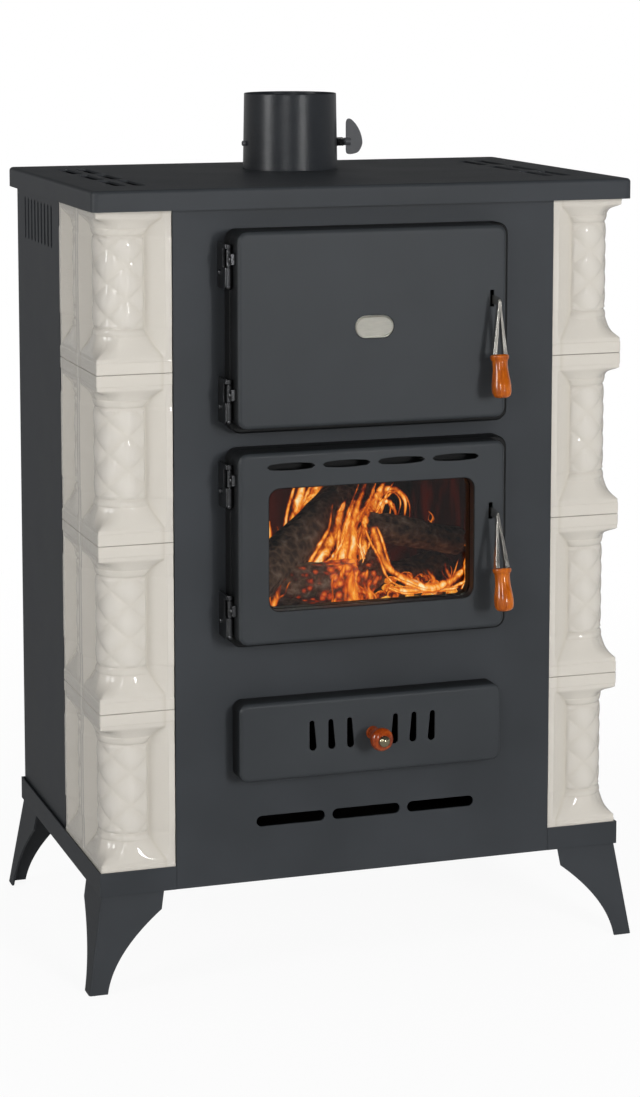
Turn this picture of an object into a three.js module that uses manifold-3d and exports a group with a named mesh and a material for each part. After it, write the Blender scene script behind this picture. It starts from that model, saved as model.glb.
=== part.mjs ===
// A free-standing wood stove with an oven, clad in glazed ceramic tiles.
// Units are millimetres. X runs to the right, Y to the back and Z up.
// While it is built, X = 0 is the middle of the stove, Y = 0 the front face of the base tray's lip
// and Z = 0 the underside of the base tray. The finished group is then stood on Z = 0.
import * as THREE from 'three';
import { mergeVertices } from 'three/addons/utils/BufferGeometryUtils.js';
import Module from 'manifold-3d';

const wasm = await Module();
wasm.setup();

// ---------------------------------------------------------------- driving dimensions

const seat = 0.3; // the gap between two pieces that touch
const base = { width: 730, depth: 472, lip: 31, floorTop: 20, sheet: 2 };
const leg = {
  height: 127, sheet: 3, topWidth: 84, footWidth: 25, shoulder: 24, spreadX: 21, spreadY: 14, pad: 60,
};
const tile = {
  width: 100, height: 220, joint: 0.4, rim: 9, backDepth: 26, rows: 4,
  shaftRadius: 35.5, shaftInset: 9.4, shaftHalfAngle: 83, sideShare: 0.42, edgeRound: 0.9,
  ringProud: 1.6, braidProud: 1.8, braidPitch: 43.5, braidMiddle: 116, braidRows: 5,
};
// Sections of a tile's foot and head: how far from the tile's end, how square, and whether on the ring.
const tileFoot = [[0, 1], [20, 1], [28, 0.78], [38, 0.45], [47, 0.2], [51.5, 0.1, 'ring'], [56, 0]];
const tileHead = [[0, 1], [20, 1], [25, 0.72], [31, 0.42], [35, 0.27], [39.5, 0.12, 'ring'], [44, 0]];
const plate = {
  top: 917, skirt: 27, sheet: 3, overFront: 13, overSide: 5, overBack: 10, cornerRadius: 9, edgeRadius: 5,
};
const plateSlot = { length: 98, width: 9, pitch: 117, count: 3, outerInset: 54, innerInset: 80 };
const frontPanel = { besideTile: 0.7, sheet: 3 };
const sidePanel = { inset: 5, sheet: 2, front: 214, frontReturn: 28, backReturn: 22 };
const louvre = { height: 60, width: 8, pitch: 20, count: 9, top: 880, back: 422 };
const backVent = { height: 46, width: 8, pitch: 34, count: 9, top: 880 };
const shell = { besideTile: 12.7, beforeBack: 32, sheet: 4 };
const fireShelf = { top: 300, holeWidth: 234, holeDepth: 174 };
const baffle = { sheet: 4, slotInset: 14, slotWidth: 46, slotFront: 60, behindSlot: 12 };
const brick = { thickness: 40, height: 250, front: 24 };
const grate = { lap: 8, lapHeight: 6, bodyDepth: 12, barGap: 11, barPitch: 24, bars: 8, border: 16 };
const door = {
  width: 364, offset: -12, frameDepth: 24, frameSheet: 3, frameFlange: 14, gap: 0.6,
  depth: 37.4, sheet: 3, cornerRadius: 11, edgeRadius: 6, mouthMargin: 22, mouthRadius: 8,
};
const ovenDoor = {
  bottom: 612.6, height: 252, handleLean: 3, linerSetBack: 0, badgeWidth: 53, badgeHeight: 30,
};
const fireDoor = { bottom: 332.6, height: 249, handleLean: 14.5, linerSetBack: 6 };
const badge = { depth: 1.2, arc: 4 };
const liner = { sheet: 2, clearance: 1 };
const gasket = { thickness: 6, sides: 6 };
const windowOpening = { width: 280, height: 159, above: 43, offset: 1.5, radius: 14, reveal: 14, wall: 3 };
const glass = { thickness: 4, lap: 8 };
const doorVent = { length: 64, pitch: 75, height: 9, endHeight: 5, count: 4, above: 230.5 };
const oven = { sheet: 2, smokeGap: 46.7, ledgeHeight: 96, ledge: 7 };
const rack = { rod: 5, crossRods: 7, frontGap: 20.7, backGap: 29.3, clearance: 2 };
const hinge = {
  barrelRadius: 3.8, pinRadius: 2, clearance: 0.3, knuckle: 22, cap: 6, gap: 1, wing: 3, sides: 8,
  fromDoor: 4, fromFrame: 11, wingHeight: 58, notch: 10, ear: 15, earHeight: 14, boltRadius: 3.8, boltHead: 3,
  upperInset: 46, lowerInset: 33,
};
const latch = {
  x: 162, pivotHeight: 158, pivotDepth: 8, pinRadius: 2.2, sheet: 2.4, eyeRadius: 6,
  slotWidth: 5, slotBelow: 12, slotAbove: 9.6, linerSlotBelow: 28, linerSlotAbove: 8,
  nose: 39, noseHeight: 9, catchSize: 6, shoulder: 30.5,
  stripLength: 70, strip: 1.6, stripDepth: 8, stripTopSpread: 0.9, stripSpread: 7.2,
};
const grip = { length: 56, collarRadius: 12, neckRadius: 10.2, bellyRadius: 13.6, endRadius: 8.5, lean: 11 };
const drawer = {
  width: 364, height: 104, bottom: 144, offset: -3.5, depth: 34, sheet: 2.5, cornerRadius: 10, edgeRadius: 6,
};
const ashPan = {
  width: 300, height: 72, behind: 106, sheet: 1.5, frontHeight: 26, drawerMargin: 6, mouthMargin: 5,
  mouthRadius: 3,
};
const drawerSlot = { height: 40, width: 9.5, taper: 1.6, pitch: 26, inner: 30.5, above: 56, lean: 1.5 };
const knob = { above: 53, neckRadius: 7, neckLength: 24, ballRadius: 15.5, ballDepth: 22 };
const knobScrew = { radius: 7.5, dome: 5 };
const runner = { width: 16, sheet: 3, lip: 3 };
const floorVent = { length: 95, height: 14.5, pitch: 105.4, centre: 80.5, count: 3 };
const flue = {
  fromBack: 144, radius: 66.4, topRadius: 64.6, height: 105.5, wall: 2, flange: 14, flangeHeight: 3.5,
  below: 4, sides: 28,
};
const damper = {
  height: 36, spindleRadius: 3.5, discRadius: 59, disc: 2, leftEnd: 4, springRadius: 5.4, wire: 1.8, coils: 4,
  springLength: 13, hubLength: 9, hubWall: 2,
  handleThickness: 2.4, handleUp: 32, handleDown: 18, handleTopWidth: 9, handleWidth: 26,
};

// ---------------------------------------------------------------- worked-out places

const halfWidth = base.width / 2;
const faceInset = base.sheet + seat; // from the lip's outer face to the tiles' outer face
const tileX = halfWidth - faceInset;
const tileBottom = base.floorTop + seat;
const underPlate = plate.top - plate.sheet - seat;
const panelBottom = base.floorTop + seat;
const doorLeft = door.offset - door.width / 2;
const doorFront = -(door.frameDepth + door.gap + door.depth);
const doorBack = -(door.frameDepth + door.gap);
const mouthHalf = door.width / 2 - door.mouthMargin;
const ovenMouth = [ovenDoor.bottom + door.mouthMargin, ovenDoor.bottom + ovenDoor.height - door.mouthMargin];
const fireMouth = [fireDoor.bottom + door.mouthMargin, fireDoor.bottom + fireDoor.height - door.mouthMargin];
const shellFront = frontPanel.sheet + seat;
const shellHalf = tileX - tile.width - shell.besideTile;
const shellEnd = base.depth - shell.beforeBack;
const shellInside = shellHalf - shell.sheet;
const shellBack = shellEnd - shell.sheet;
const panelHalf = tileX - tile.width - frontPanel.besideTile;
const ovenBack = shellBack - oven.smokeGap;
const brickBack = shellBack - seat - brick.thickness;
const grateY = (brick.front + brickBack) / 2;
const flueY = base.depth - flue.fromBack;
const hingeX = doorLeft - hinge.fromDoor;
const hingeY = -(door.frameDepth + hinge.fromFrame);
const latchX = door.offset + latch.x;

// ---------------------------------------------------------------- materials

function finish(color, roughness, metalness, extra = {}) {
  return new THREE.MeshStandardMaterial({ color, roughness, metalness, ...extra });
}

const materials = {
  paintedSteel: () => finish('#3b3e41', 0.62, 0.35),
  ceramic: () => finish('#dcd8cf', 0.16, 0),
  innerSteel: () => finish('#232324', 0.75, 0.4),
  castIron: () => finish('#2b2a29', 0.8, 0.5),
  firebrick: () => finish('#b39a78', 0.95, 0),
  enamel: () => finish('#2a2c30', 0.35, 0.1),
  glass: () => finish('#181412', 0.05, 0, { transparent: true, opacity: 0.35 }),
  rope: () => finish('#2c2b29', 0.95, 0),
  hingeSteel: () => finish('#55575a', 0.45, 0.8),
  chrome: () => finish('#c9c9c6', 0.15, 1),
  wood: () => finish('#b4570f', 0.22, 0),
  brass: () => finish('#c8a35a', 0.2, 1),
};

// ---------------------------------------------------------------- solids: joining and cutting

function toSolid(geometry) {
  const bare = new THREE.BufferGeometry();
  bare.setAttribute('position', geometry.getAttribute('position').clone());
  if (geometry.index) bare.setIndex(geometry.index.clone());
  const merged = mergeVertices(bare, 1e-4);
  return new wasm.Manifold(new wasm.Mesh({
    numProp: 3,
    vertProperties: new Float32Array(merged.getAttribute('position').array),
    triVerts: new Uint32Array(merged.index.array),
  }));
}

function toGeometry(solid) {
  const mesh = solid.getMesh();
  const geometry = new THREE.BufferGeometry();
  geometry.setAttribute('position', new THREE.BufferAttribute(new Float32Array(mesh.vertProperties), 3));
  geometry.setIndex(new THREE.BufferAttribute(new Uint32Array(mesh.triVerts), 1));
  return geometry;
}

function join(...geometries) {
  return toGeometry(geometries.map(toSolid).reduce((sum, next) => sum.add(next)));
}

function cut(body, ...tools) {
  return toGeometry(tools.map(toSolid).reduce((left, tool) => left.subtract(tool), toSolid(body)));
}

// ---------------------------------------------------------------- outlines and basic forms

const wholeTurn = Math.PI * 2;
const rightAngle = Math.PI / 2;
const degrees = THREE.MathUtils.degToRad;
const cornerArc = 1; // half the straight steps of a rounded corner
const slotArc = 2; // half the straight steps of a slot's round end

function boxBetween(x, y, z) {
  const geometry = new THREE.BoxGeometry(x[1] - x[0], y[1] - y[0], z[1] - z[0]);
  return geometry.translate((x[0] + x[1]) / 2, (y[0] + y[1]) / 2, (z[0] + z[1]) / 2);
}

function roundedRectangle(left, right, bottom, top, radius) {
  const shape = new THREE.Shape();
  shape.absarc(right - radius, bottom + radius, radius, -rightAngle, 0, false);
  shape.absarc(right - radius, top - radius, radius, 0, rightAngle, false);
  shape.absarc(left + radius, top - radius, radius, rightAngle, Math.PI, false);
  shape.absarc(left + radius, bottom + radius, radius, Math.PI, Math.PI + rightAngle, false);
  shape.closePath();
  return shape;
}

// A slot with round ends. topRadius differs from the bottom one on a tapered slot; lean moves its top
// sideways.
function uprightSlot(x, bottom, height, radius, topRadius = radius, lean = 0) {
  const shape = new THREE.Shape();
  shape.absarc(x, bottom + radius, radius, Math.PI, wholeTurn, false);
  shape.absarc(x + lean, bottom + height - topRadius, topRadius, 0, Math.PI, false);
  shape.closePath();
  return shape;
}

function levelSlot(x, z, length, height) {
  const radius = height / 2;
  const reach = length / 2 - radius;
  const shape = new THREE.Shape();
  shape.absarc(x + reach, z, radius, -rightAngle, rightAngle, false);
  shape.absarc(x - reach, z, radius, rightAngle, Math.PI + rightAngle, false);
  shape.closePath();
  return shape;
}

function extruded(shape, depth, curveSegments = cornerArc) {
  return new THREE.ExtrudeGeometry(shape, { depth, bevelEnabled: false, curveSegments, steps: 1 });
}

// The outline lies in the X-Z plane and the prism fills Y from front to back.
function prismAlongY(shape, front, back, curveSegments) {
  const geometry = extruded(shape, back - front, curveSegments);
  return geometry.rotateX(rightAngle).translate(0, back, 0);
}

// The outline is drawn as (Y, Z) and the prism fills X from left to right.
function prismAlongX(shape, left, right, curveSegments) {
  const turn = new THREE.Matrix4().makeBasis(
    new THREE.Vector3(0, 1, 0), new THREE.Vector3(0, 0, 1), new THREE.Vector3(1, 0, 0),
  );
  return extruded(shape, right - left, curveSegments).applyMatrix4(turn).translate(left, 0, 0);
}

function prismAlongZ(shape, bottom, top, curveSegments) {
  return extruded(shape, top - bottom, curveSegments).translate(0, 0, bottom);
}

function withHoles(shape, holes) {
  shape.holes.push(...holes);
  return shape;
}

function polygon(points) {
  return new THREE.Shape(points.map(([x, y]) => new THREE.Vector2(x, y)));
}

function rodAlongX(radius, left, right, y, z, sides = 12) {
  const geometry = new THREE.CylinderGeometry(radius, radius, right - left, sides);
  return geometry.rotateZ(rightAngle).translate((left + right) / 2, y, z);
}

function rodAlongZ(radius, bottom, top, x, y, sides = 12) {
  const geometry = new THREE.CylinderGeometry(radius, radius, top - bottom, sides);
  return geometry.rotateX(rightAngle).translate(x, y, (bottom + top) / 2);
}

// A closed skin through rings of points, each ring seen anticlockwise from the end that the rings run
// towards. ends 'flat' closes the first and last ring; ends 'loop' joins the last ring back to the first.
function loft(rings, ends = 'flat', flatten = (point) => new THREE.Vector2(point.x, point.y)) {
  const count = rings[0].length;
  const positions = rings.flat().flatMap((point) => [point.x, point.y, point.z]);
  const triangles = [];
  const steps = ends === 'loop' ? rings.length : rings.length - 1;
  for (let step = 0; step < steps; step += 1) {
    const low = step * count;
    const high = ((step + 1) % rings.length) * count;
    for (let i = 0; i < count; i += 1) {
      const j = (i + 1) % count;
      triangles.push(low + i, low + j, high + j, low + i, high + j, high + i);
    }
  }
  if (ends === 'flat') {
    const last = (rings.length - 1) * count;
    for (const [a, b, c] of THREE.ShapeUtils.triangulateShape(rings[0].map(flatten), [])) {
      triangles.push(a, c, b);
    }
    for (const [a, b, c] of THREE.ShapeUtils.triangulateShape(rings[rings.length - 1].map(flatten), [])) {
      triangles.push(last + a, last + b, last + c);
    }
  }
  const geometry = new THREE.BufferGeometry();
  geometry.setAttribute('position', new THREE.Float32BufferAttribute(positions, 3));
  geometry.setIndex(triangles);
  return geometry;
}

// Points of a rounded rectangle, anticlockwise.
function rectanglePoints(left, right, bottom, top, radius) {
  return roundedRectangle(left, right, bottom, top, radius).getPoints(cornerArc).slice(0, -1);
}

// A dished sheet-metal cover: a rounded rectangle whose face has rolled edges, open towards the back.
// Drawn in X-Z with the face at Y = front and the open edge at Y = back.
function dishedCover({ left, right, bottom, top, front, back, sheet, cornerRadius, edgeRadius }) {
  const rollSteps = 3;
  const ringAt = (inset, y, radius) => rectanglePoints(
    left + inset, right - inset, bottom + inset, top - inset, radius,
  ).map((point) => new THREE.Vector3(point.x, y, point.y));
  const outside = [ringAt(0, back, cornerRadius)];
  for (let step = 0; step <= rollSteps; step += 1) {
    const angle = rightAngle * (step / rollSteps);
    const inset = edgeRadius * (1 - Math.cos(angle));
    const y = front + edgeRadius * (1 - Math.sin(angle));
    outside.push(ringAt(inset, y, cornerRadius - inset * 0.5));
  }
  const flatten = (point) => new THREE.Vector2(point.x, point.z);
  const inner = roundedRectangle(
    left + sheet, right - sheet, bottom + sheet, top - sheet, cornerRadius - sheet,
  );
  return cut(loft(outside, 'flat', flatten), prismAlongY(inner, front + sheet, back + 1));
}

// ---------------------------------------------------------------- scene graph helpers

const stove = new THREE.Group();
stove.name = 'tiled_stove';

function add(name, geometry, material, parent = stove) {
  const mesh = new THREE.Mesh(geometry, material());
  mesh.name = name;
  parent.add(mesh);
  return mesh;
}

// ---------------------------------------------------------------- base and legs

function baseTray() {
  const y = [0, base.depth];
  const inside = [-halfWidth + base.sheet, halfWidth - base.sheet];
  const insideY = [base.sheet, base.depth - base.sheet];
  const notch = panelHalf + seat;
  return cut(
    boxBetween([-halfWidth, halfWidth], y, [0, base.lip]),
    boxBetween(inside, insideY, [base.floorTop, base.lip + 1]),
    boxBetween(inside, insideY, [-1, base.floorTop - base.sheet]),
    boxBetween([-notch, notch], [-1, frontPanel.sheet + seat], [-1, base.lip + 1]),
  );
}

// An L-section of folded sheet that narrows downwards in a curve and leans outwards; its corner is at 0, 0.
function legGeometry() {
  const top = base.floorTop - base.sheet - seat;
  const curveSteps = 9;
  const levels = [top, 0, -leg.shoulder];
  for (let step = 1; step <= curveSteps; step += 1) {
    levels.push(-leg.shoulder - (leg.height - leg.shoulder) * (step / curveSteps));
  }
  const ringAt = (z) => {
    const lean = Math.max(0, -z / leg.height);
    const fall = Math.max(0, (-z - leg.shoulder) / (leg.height - leg.shoulder));
    const width = leg.footWidth + (leg.topWidth - leg.footWidth) * (1 - fall) ** 2;
    const x = -leg.spreadX * lean;
    const y = -leg.spreadY * lean;
    const section = [
      [0, 0], [width, 0], [width, leg.sheet], [leg.sheet, leg.sheet], [leg.sheet, width], [0, width],
    ];
    return section.map(([dx, dy]) => new THREE.Vector3(x + dx, y + dy, z));
  };
  const blade = loft(levels.reverse().map(ringAt));
  const pad = boxBetween([0, leg.pad], [0, leg.pad], [top - leg.sheet, top]);
  return join(blade, pad);
}

function addLegs() {
  const inset = base.sheet + seat;
  const corners = [
    ['leg_front_left', -1, 0, 0], ['leg_front_right', 1, 0, rightAngle],
    ['leg_back_right', 1, 1, Math.PI], ['leg_back_left', -1, 1, -rightAngle],
  ];
  // The front legs' pads clear the front panel's foot; each leg is the same piece turned by a quarter.
  for (const [name, side, rear, turn] of corners) {
    const swaps = Math.abs(Math.sin(turn)) > 0.5;
    const piece = add(name, swaps ? mirroredLeg() : legGeometry(), materials.paintedSteel);
    piece.rotation.z = turn;
    piece.position.set(side * (halfWidth - inset), rear ? base.depth - inset : inset, 0);
  }
}

// The other hand of the leg, for the corners where width and depth change places.
function mirroredLeg() {
  const geometry = legGeometry().toNonIndexed();
  const position = geometry.getAttribute('position');
  const swapped = new Float32Array(position.count * 3);
  for (let triangle = 0; triangle < position.count; triangle += 3) {
    for (let corner = 0; corner < 3; corner += 1) {
      const from = triangle + (3 - corner) % 3;
      swapped.set([position.getY(from), position.getX(from), position.getZ(from)], (triangle + corner) * 3);
    }
  }
  const mirrored = new THREE.BufferGeometry();
  mirrored.setAttribute('position', new THREE.BufferAttribute(swapped, 3));
  return mergeVertices(mirrored, 1e-4);
}

// ---------------------------------------------------------------- tiles

// Plan of a tile front: distances along the face (u) and into the tile (v).
// block is where a point lies on the square plinth, shaft where it lies on the round column.
function cornerTilePlan() {
  const centre = tile.shaftRadius + tile.shaftInset;
  const half = degrees(tile.shaftHalfAngle);
  const diagonal = degrees(225);
  const innerRim = tile.width - tile.rim;
  const along = [0.965, 0.72, 0.47, 0.22];
  const onBlock = [
    ...along.map((share) => [share * innerRim, 0]), [tile.edgeRound, tile.edgeRound],
    ...along.map((share) => [0, share * innerRim]).reverse(),
  ];
  const points = onBlock.map((block, index) => {
    const swing = half * (1 - (2 * index) / (onBlock.length - 1));
    return { centre: [centre, centre], facing: diagonal, swing, block };
  });
  return {
    rimStart: [tile.width, 0], innerStart: [innerRim, 0],
    points,
    innerEnd: [0, innerRim], rimEnd: [0, tile.width],
    back: [[tile.backDepth, tile.width], [tile.backDepth, tile.backDepth], [tile.width, tile.backDepth]],
  };
}

function sideTilePlan() {
  const centreU = tile.width / 2;
  const centreV = tile.shaftRadius + tile.shaftInset;
  const half = degrees(tile.shaftHalfAngle) * tile.sideShare;
  const steps = 4;
  const points = [];
  for (let i = 0; i <= steps; i += 1) {
    const share = 1 - (2 * i) / steps;
    const reach = (tile.width / 2 - tile.rim) * 0.94 * share;
    points.push({
      centre: [centreU, centreV], facing: -rightAngle, swing: half * share, block: [centreU + reach, 0],
    });
  }
  return {
    rimStart: [tile.width, 0], innerStart: [tile.width - tile.rim, 0],
    points,
    innerEnd: [tile.rim, 0], rimEnd: [0, 0],
    back: [[0, tile.backDepth], [tile.width, tile.backDepth]],
  };
}

// Height levels of a tile: how square the section is there (1 on the plinth, 0 on the shaft),
// how far it stands proud, and whether the braid crosses it.
function tileLevels() {
  const ends = (rows, place) => rows.map(([away, square, ring]) => ({
    z: place(away), square, proud: ring ? tile.ringProud : 0,
  }));
  const shaft = centred(tile.braidRows, tile.braidPitch / 2).map((offset) => ({
    z: tile.braidMiddle + offset, square: 0, proud: 0, braided: true,
  }));
  return [
    ...ends(tileFoot, (away) => away), ...shaft, ...ends(tileHead, (away) => tile.height - away).reverse(),
  ];
}

// The braid: raised diamonds between two sets of crossing creases. The shaft's half angle is one diamond
// wide.
function braidHeight(swing, level) {
  if (!level.braided) return 0;
  const along = swing / degrees(tile.shaftHalfAngle);
  const up = (level.z - tile.braidMiddle) / tile.braidPitch;
  const fromCrease = (place) => 1 - Math.abs(2 * (place - Math.floor(place)) - 1);
  return tile.braidProud * Math.min(fromCrease(along + up), fromCrease(along - up));
}

function tileGeometry(plan) {
  const rows = tileLevels().map((level) => {
    const onShaft = plan.points.map((point, column) => {
      const atCrease = column === 0 || column === plan.points.length - 1;
      const radius = tile.shaftRadius + (atCrease ? 0 : level.proud + braidHeight(point.swing, level));
      const angle = point.facing + point.swing;
      const shaft = [point.centre[0] + radius * Math.cos(angle), point.centre[1] + radius * Math.sin(angle)];
      return [0, 1].map((axis) => shaft[axis] + (point.block[axis] - shaft[axis]) * level.square);
    });
    return [plan.innerStart, ...onShaft, plan.innerEnd].map(([u, v]) => new THREE.Vector3(u, v, level.z));
  });
  return frontedBlock(rows, plan);
}

// A block whose front is a grid of points between two straight rims, with flat sides, back, top and bottom.
function frontedBlock(rows, plan) {
  const columns = rows[0].length;
  const last = rows.length - 1;
  const middle = Math.floor(rows.length / 2);
  const positions = rows.flat().flatMap((point) => [point.x, point.y, point.z]);
  const triangles = [];
  const front = (row, column) => row * columns + column;
  const outline = [plan.rimEnd, ...plan.back, plan.rimStart];
  const firstCorner = rows.length * columns;
  for (const z of [rows[0][0].z, rows[last][0].z]) {
    for (const [u, v] of outline) positions.push(u, v, z);
  }
  const low = (corner) => firstCorner + corner;
  const high = (corner) => firstCorner + outline.length + corner;
  for (let row = 0; row < last; row += 1) {
    for (let column = 0; column < columns - 1; column += 1) {
      const [a, b] = [front(row, column), front(row, column + 1)];
      const [c, d] = [front(row + 1, column + 1), front(row + 1, column)];
      if ((row + column) % 2) triangles.push(a, c, b, a, d, c);
      else triangles.push(a, d, b, b, d, c);
    }
  }
  const end = outline.length - 1;
  for (let row = 0; row < last; row += 1) {
    const startCorner = row < middle ? low(end) : high(end);
    const endCorner = row < middle ? low(0) : high(0);
    triangles.push(startCorner, front(row + 1, 0), front(row, 0));
    triangles.push(endCorner, front(row, columns - 1), front(row + 1, columns - 1));
  }
  triangles.push(low(end), high(end), front(middle, 0));
  triangles.push(low(0), front(middle, columns - 1), high(0));
  for (let corner = 0; corner < end; corner += 1) {
    triangles.push(low(corner), high(corner + 1), low(corner + 1));
    triangles.push(low(corner), high(corner), high(corner + 1));
  }
  for (const [row, corner, flip] of [[0, low, false], [last, high, true]]) {
    const ring = rows[row].map((_, column) => front(row, column));
    const loop = [...ring, ...outline.map((_, index) => corner(index))];
    const flat = loop.map((index) => new THREE.Vector2(positions[index * 3], positions[index * 3 + 1]));
    for (const [a, b, c] of THREE.ShapeUtils.triangulateShape(flat, [])) {
      const face = [loop[a], loop[b], loop[c]];
      const turn = signedArea(flat[a], flat[b], flat[c]);
      if ((turn > 0) !== flip) face.reverse();
      triangles.push(...face);
    }
  }
  const geometry = new THREE.BufferGeometry();
  geometry.setAttribute('position', new THREE.Float32BufferAttribute(positions, 3));
  geometry.setIndex(triangles);
  return geometry;
}

function signedArea(a, b, c) {
  return (b.x - a.x) * (c.y - a.y) - (c.x - a.x) * (b.y - a.y);
}

function addTiles() {
  const corner = tileGeometry(cornerTilePlan());
  const side = tileGeometry(sideTilePlan());
  const sideFront = faceInset + tile.width + tile.joint;
  for (let row = 0; row < tile.rows; row += 1) {
    const z = tileBottom + row * (tile.height + tile.joint);
    const number = row + 1;
    add(`corner_tile_left_${number}`, corner.clone(), materials.ceramic).position.set(-tileX, faceInset, z);
    const right = add(`corner_tile_right_${number}`, corner.clone(), materials.ceramic);
    right.position.set(tileX, faceInset, z);
    right.rotation.z = rightAngle;
    const leftSide = add(`side_tile_left_${number}`, side.clone(), materials.ceramic);
    leftSide.position.set(-tileX, sideFront + tile.width, z);
    leftSide.rotation.z = -rightAngle;
    const rightSide = add(`side_tile_right_${number}`, side.clone(), materials.ceramic);
    rightSide.position.set(tileX, sideFront, z);
    rightSide.rotation.z = rightAngle;
  }
}

// ---------------------------------------------------------------- outer sheet metal

function doorMouth(z) {
  return roundedRectangle(door.offset - mouthHalf, door.offset + mouthHalf, z[0], z[1], door.mouthRadius);
}

function drawerMouth() {
  const half = ashPan.width / 2 + ashPan.mouthMargin;
  const bottom = drawer.bottom + ashPan.drawerMargin - runner.sheet;
  const top = drawer.bottom + ashPan.drawerMargin + ashPan.height + ashPan.mouthMargin;
  return roundedRectangle(drawer.offset - half, drawer.offset + half, bottom, top, ashPan.mouthRadius);
}

function centred(count, pitch) {
  return Array.from({ length: count }, (_, index) => (index - (count - 1) / 2) * pitch);
}

function frontPanelGeometry() {
  const sheet = polygon([
    [-panelHalf, 0], [panelHalf, 0], [panelHalf, underPlate], [-panelHalf, underPlate],
  ]);
  const vents = centred(floorVent.count, floorVent.pitch).map(
    (x) => levelSlot(x, floorVent.centre, floorVent.length, floorVent.height),
  );
  const holes = [doorMouth(ovenMouth), doorMouth(fireMouth), drawerMouth(), ...vents];
  return prismAlongY(withHoles(sheet, holes), 0, frontPanel.sheet);
}

// A side cladding panel: a sheet with its front and back edges folded inwards, and louvre slots high at the
// back.
function sidePanelGeometry(side) {
  const outer = halfWidth - sidePanel.inset;
  const inner = outer - sidePanel.sheet;
  const back = base.depth - base.sheet - seat;
  const section = [
    [outer, sidePanel.front], [outer, back], [outer - sidePanel.backReturn, back],
    [outer - sidePanel.backReturn, back - sidePanel.sheet], [inner, back - sidePanel.sheet],
    [inner, sidePanel.front + sidePanel.sheet],
    [outer - sidePanel.frontReturn, sidePanel.front + sidePanel.sheet],
    [outer - sidePanel.frontReturn, sidePanel.front],
  ].map(([x, y]) => [side * x, y]);
  const profile = prismAlongZ(polygon(side > 0 ? section : section.reverse()), panelBottom, underPlate);
  const slots = centred(louvre.count, louvre.pitch).map((offset) => {
    const y = louvre.back - louvre.width / 2 - ((louvre.count - 1) / 2) * louvre.pitch + offset;
    const outline = uprightSlot(y, louvre.top - louvre.height, louvre.height, louvre.width / 2);
    const left = side > 0 ? inner - 1 : -outer - 1;
    return prismAlongX(outline, left, left + sidePanel.sheet + 2);
  });
  return cut(profile, ...slots);
}

function backPanelGeometry() {
  const half = halfWidth - sidePanel.inset - sidePanel.sheet - seat;
  const back = base.depth - base.sheet - seat - sidePanel.sheet - seat;
  const sheet = polygon([[-half, panelBottom], [half, panelBottom], [half, underPlate], [-half, underPlate]]);
  const vents = centred(backVent.count, backVent.pitch).map(
    (x) => uprightSlot(x, backVent.top - backVent.height, backVent.height, backVent.width / 2),
  );
  return prismAlongY(withHoles(sheet, vents), back - sidePanel.sheet, back);
}

function topPlateGeometry() {
  const half = halfWidth + plate.overSide;
  const bottom = plate.top - plate.skirt;
  const ringAt = (inset, z) => rectanglePoints(
    -half + inset, half - inset, -plate.overFront + inset, base.depth + plate.overBack - inset,
    plate.cornerRadius - inset * 0.5,
  ).map((point) => new THREE.Vector3(point.x, point.y, z));
  const rings = [ringAt(0, bottom)];
  const rollSteps = 3;
  for (let step = 0; step <= rollSteps; step += 1) {
    const angle = rightAngle * (step / rollSteps);
    const inset = plate.edgeRadius * (1 - Math.cos(angle));
    rings.push(ringAt(inset, plate.top - plate.edgeRadius * (1 - Math.sin(angle))));
  }
  const inner = roundedRectangle(
    -half + plate.sheet, half - plate.sheet, -plate.overFront + plate.sheet,
    base.depth + plate.overBack - plate.sheet, plate.cornerRadius - plate.sheet,
  );
  const slots = [];
  const middle = (base.depth + plate.overBack - plate.overFront) / 2;
  for (const side of [-1, 1]) {
    for (const inset of [plateSlot.outerInset, plateSlot.innerInset]) {
      for (const offset of centred(plateSlot.count, plateSlot.pitch)) {
        const outline = uprightSlot(
          side * (halfWidth - inset), middle + offset - plateSlot.length / 2,
          plateSlot.length, plateSlot.width / 2,
        );
        slots.push(outline);
      }
    }
  }
  const below = plate.top - plate.sheet - 1;
  const slotTools = slots.map((outline) => prismAlongZ(outline, below, plate.top + 1));
  return cut(
    loft(rings),
    prismAlongZ(inner, bottom - 1, plate.top - plate.sheet),
    rodAlongZ(flue.radius + seat, below, plate.top + 1, 0, flueY, flue.sides),
    ...slotTools,
  );
}

// ---------------------------------------------------------------- the welded body and what it holds

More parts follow.
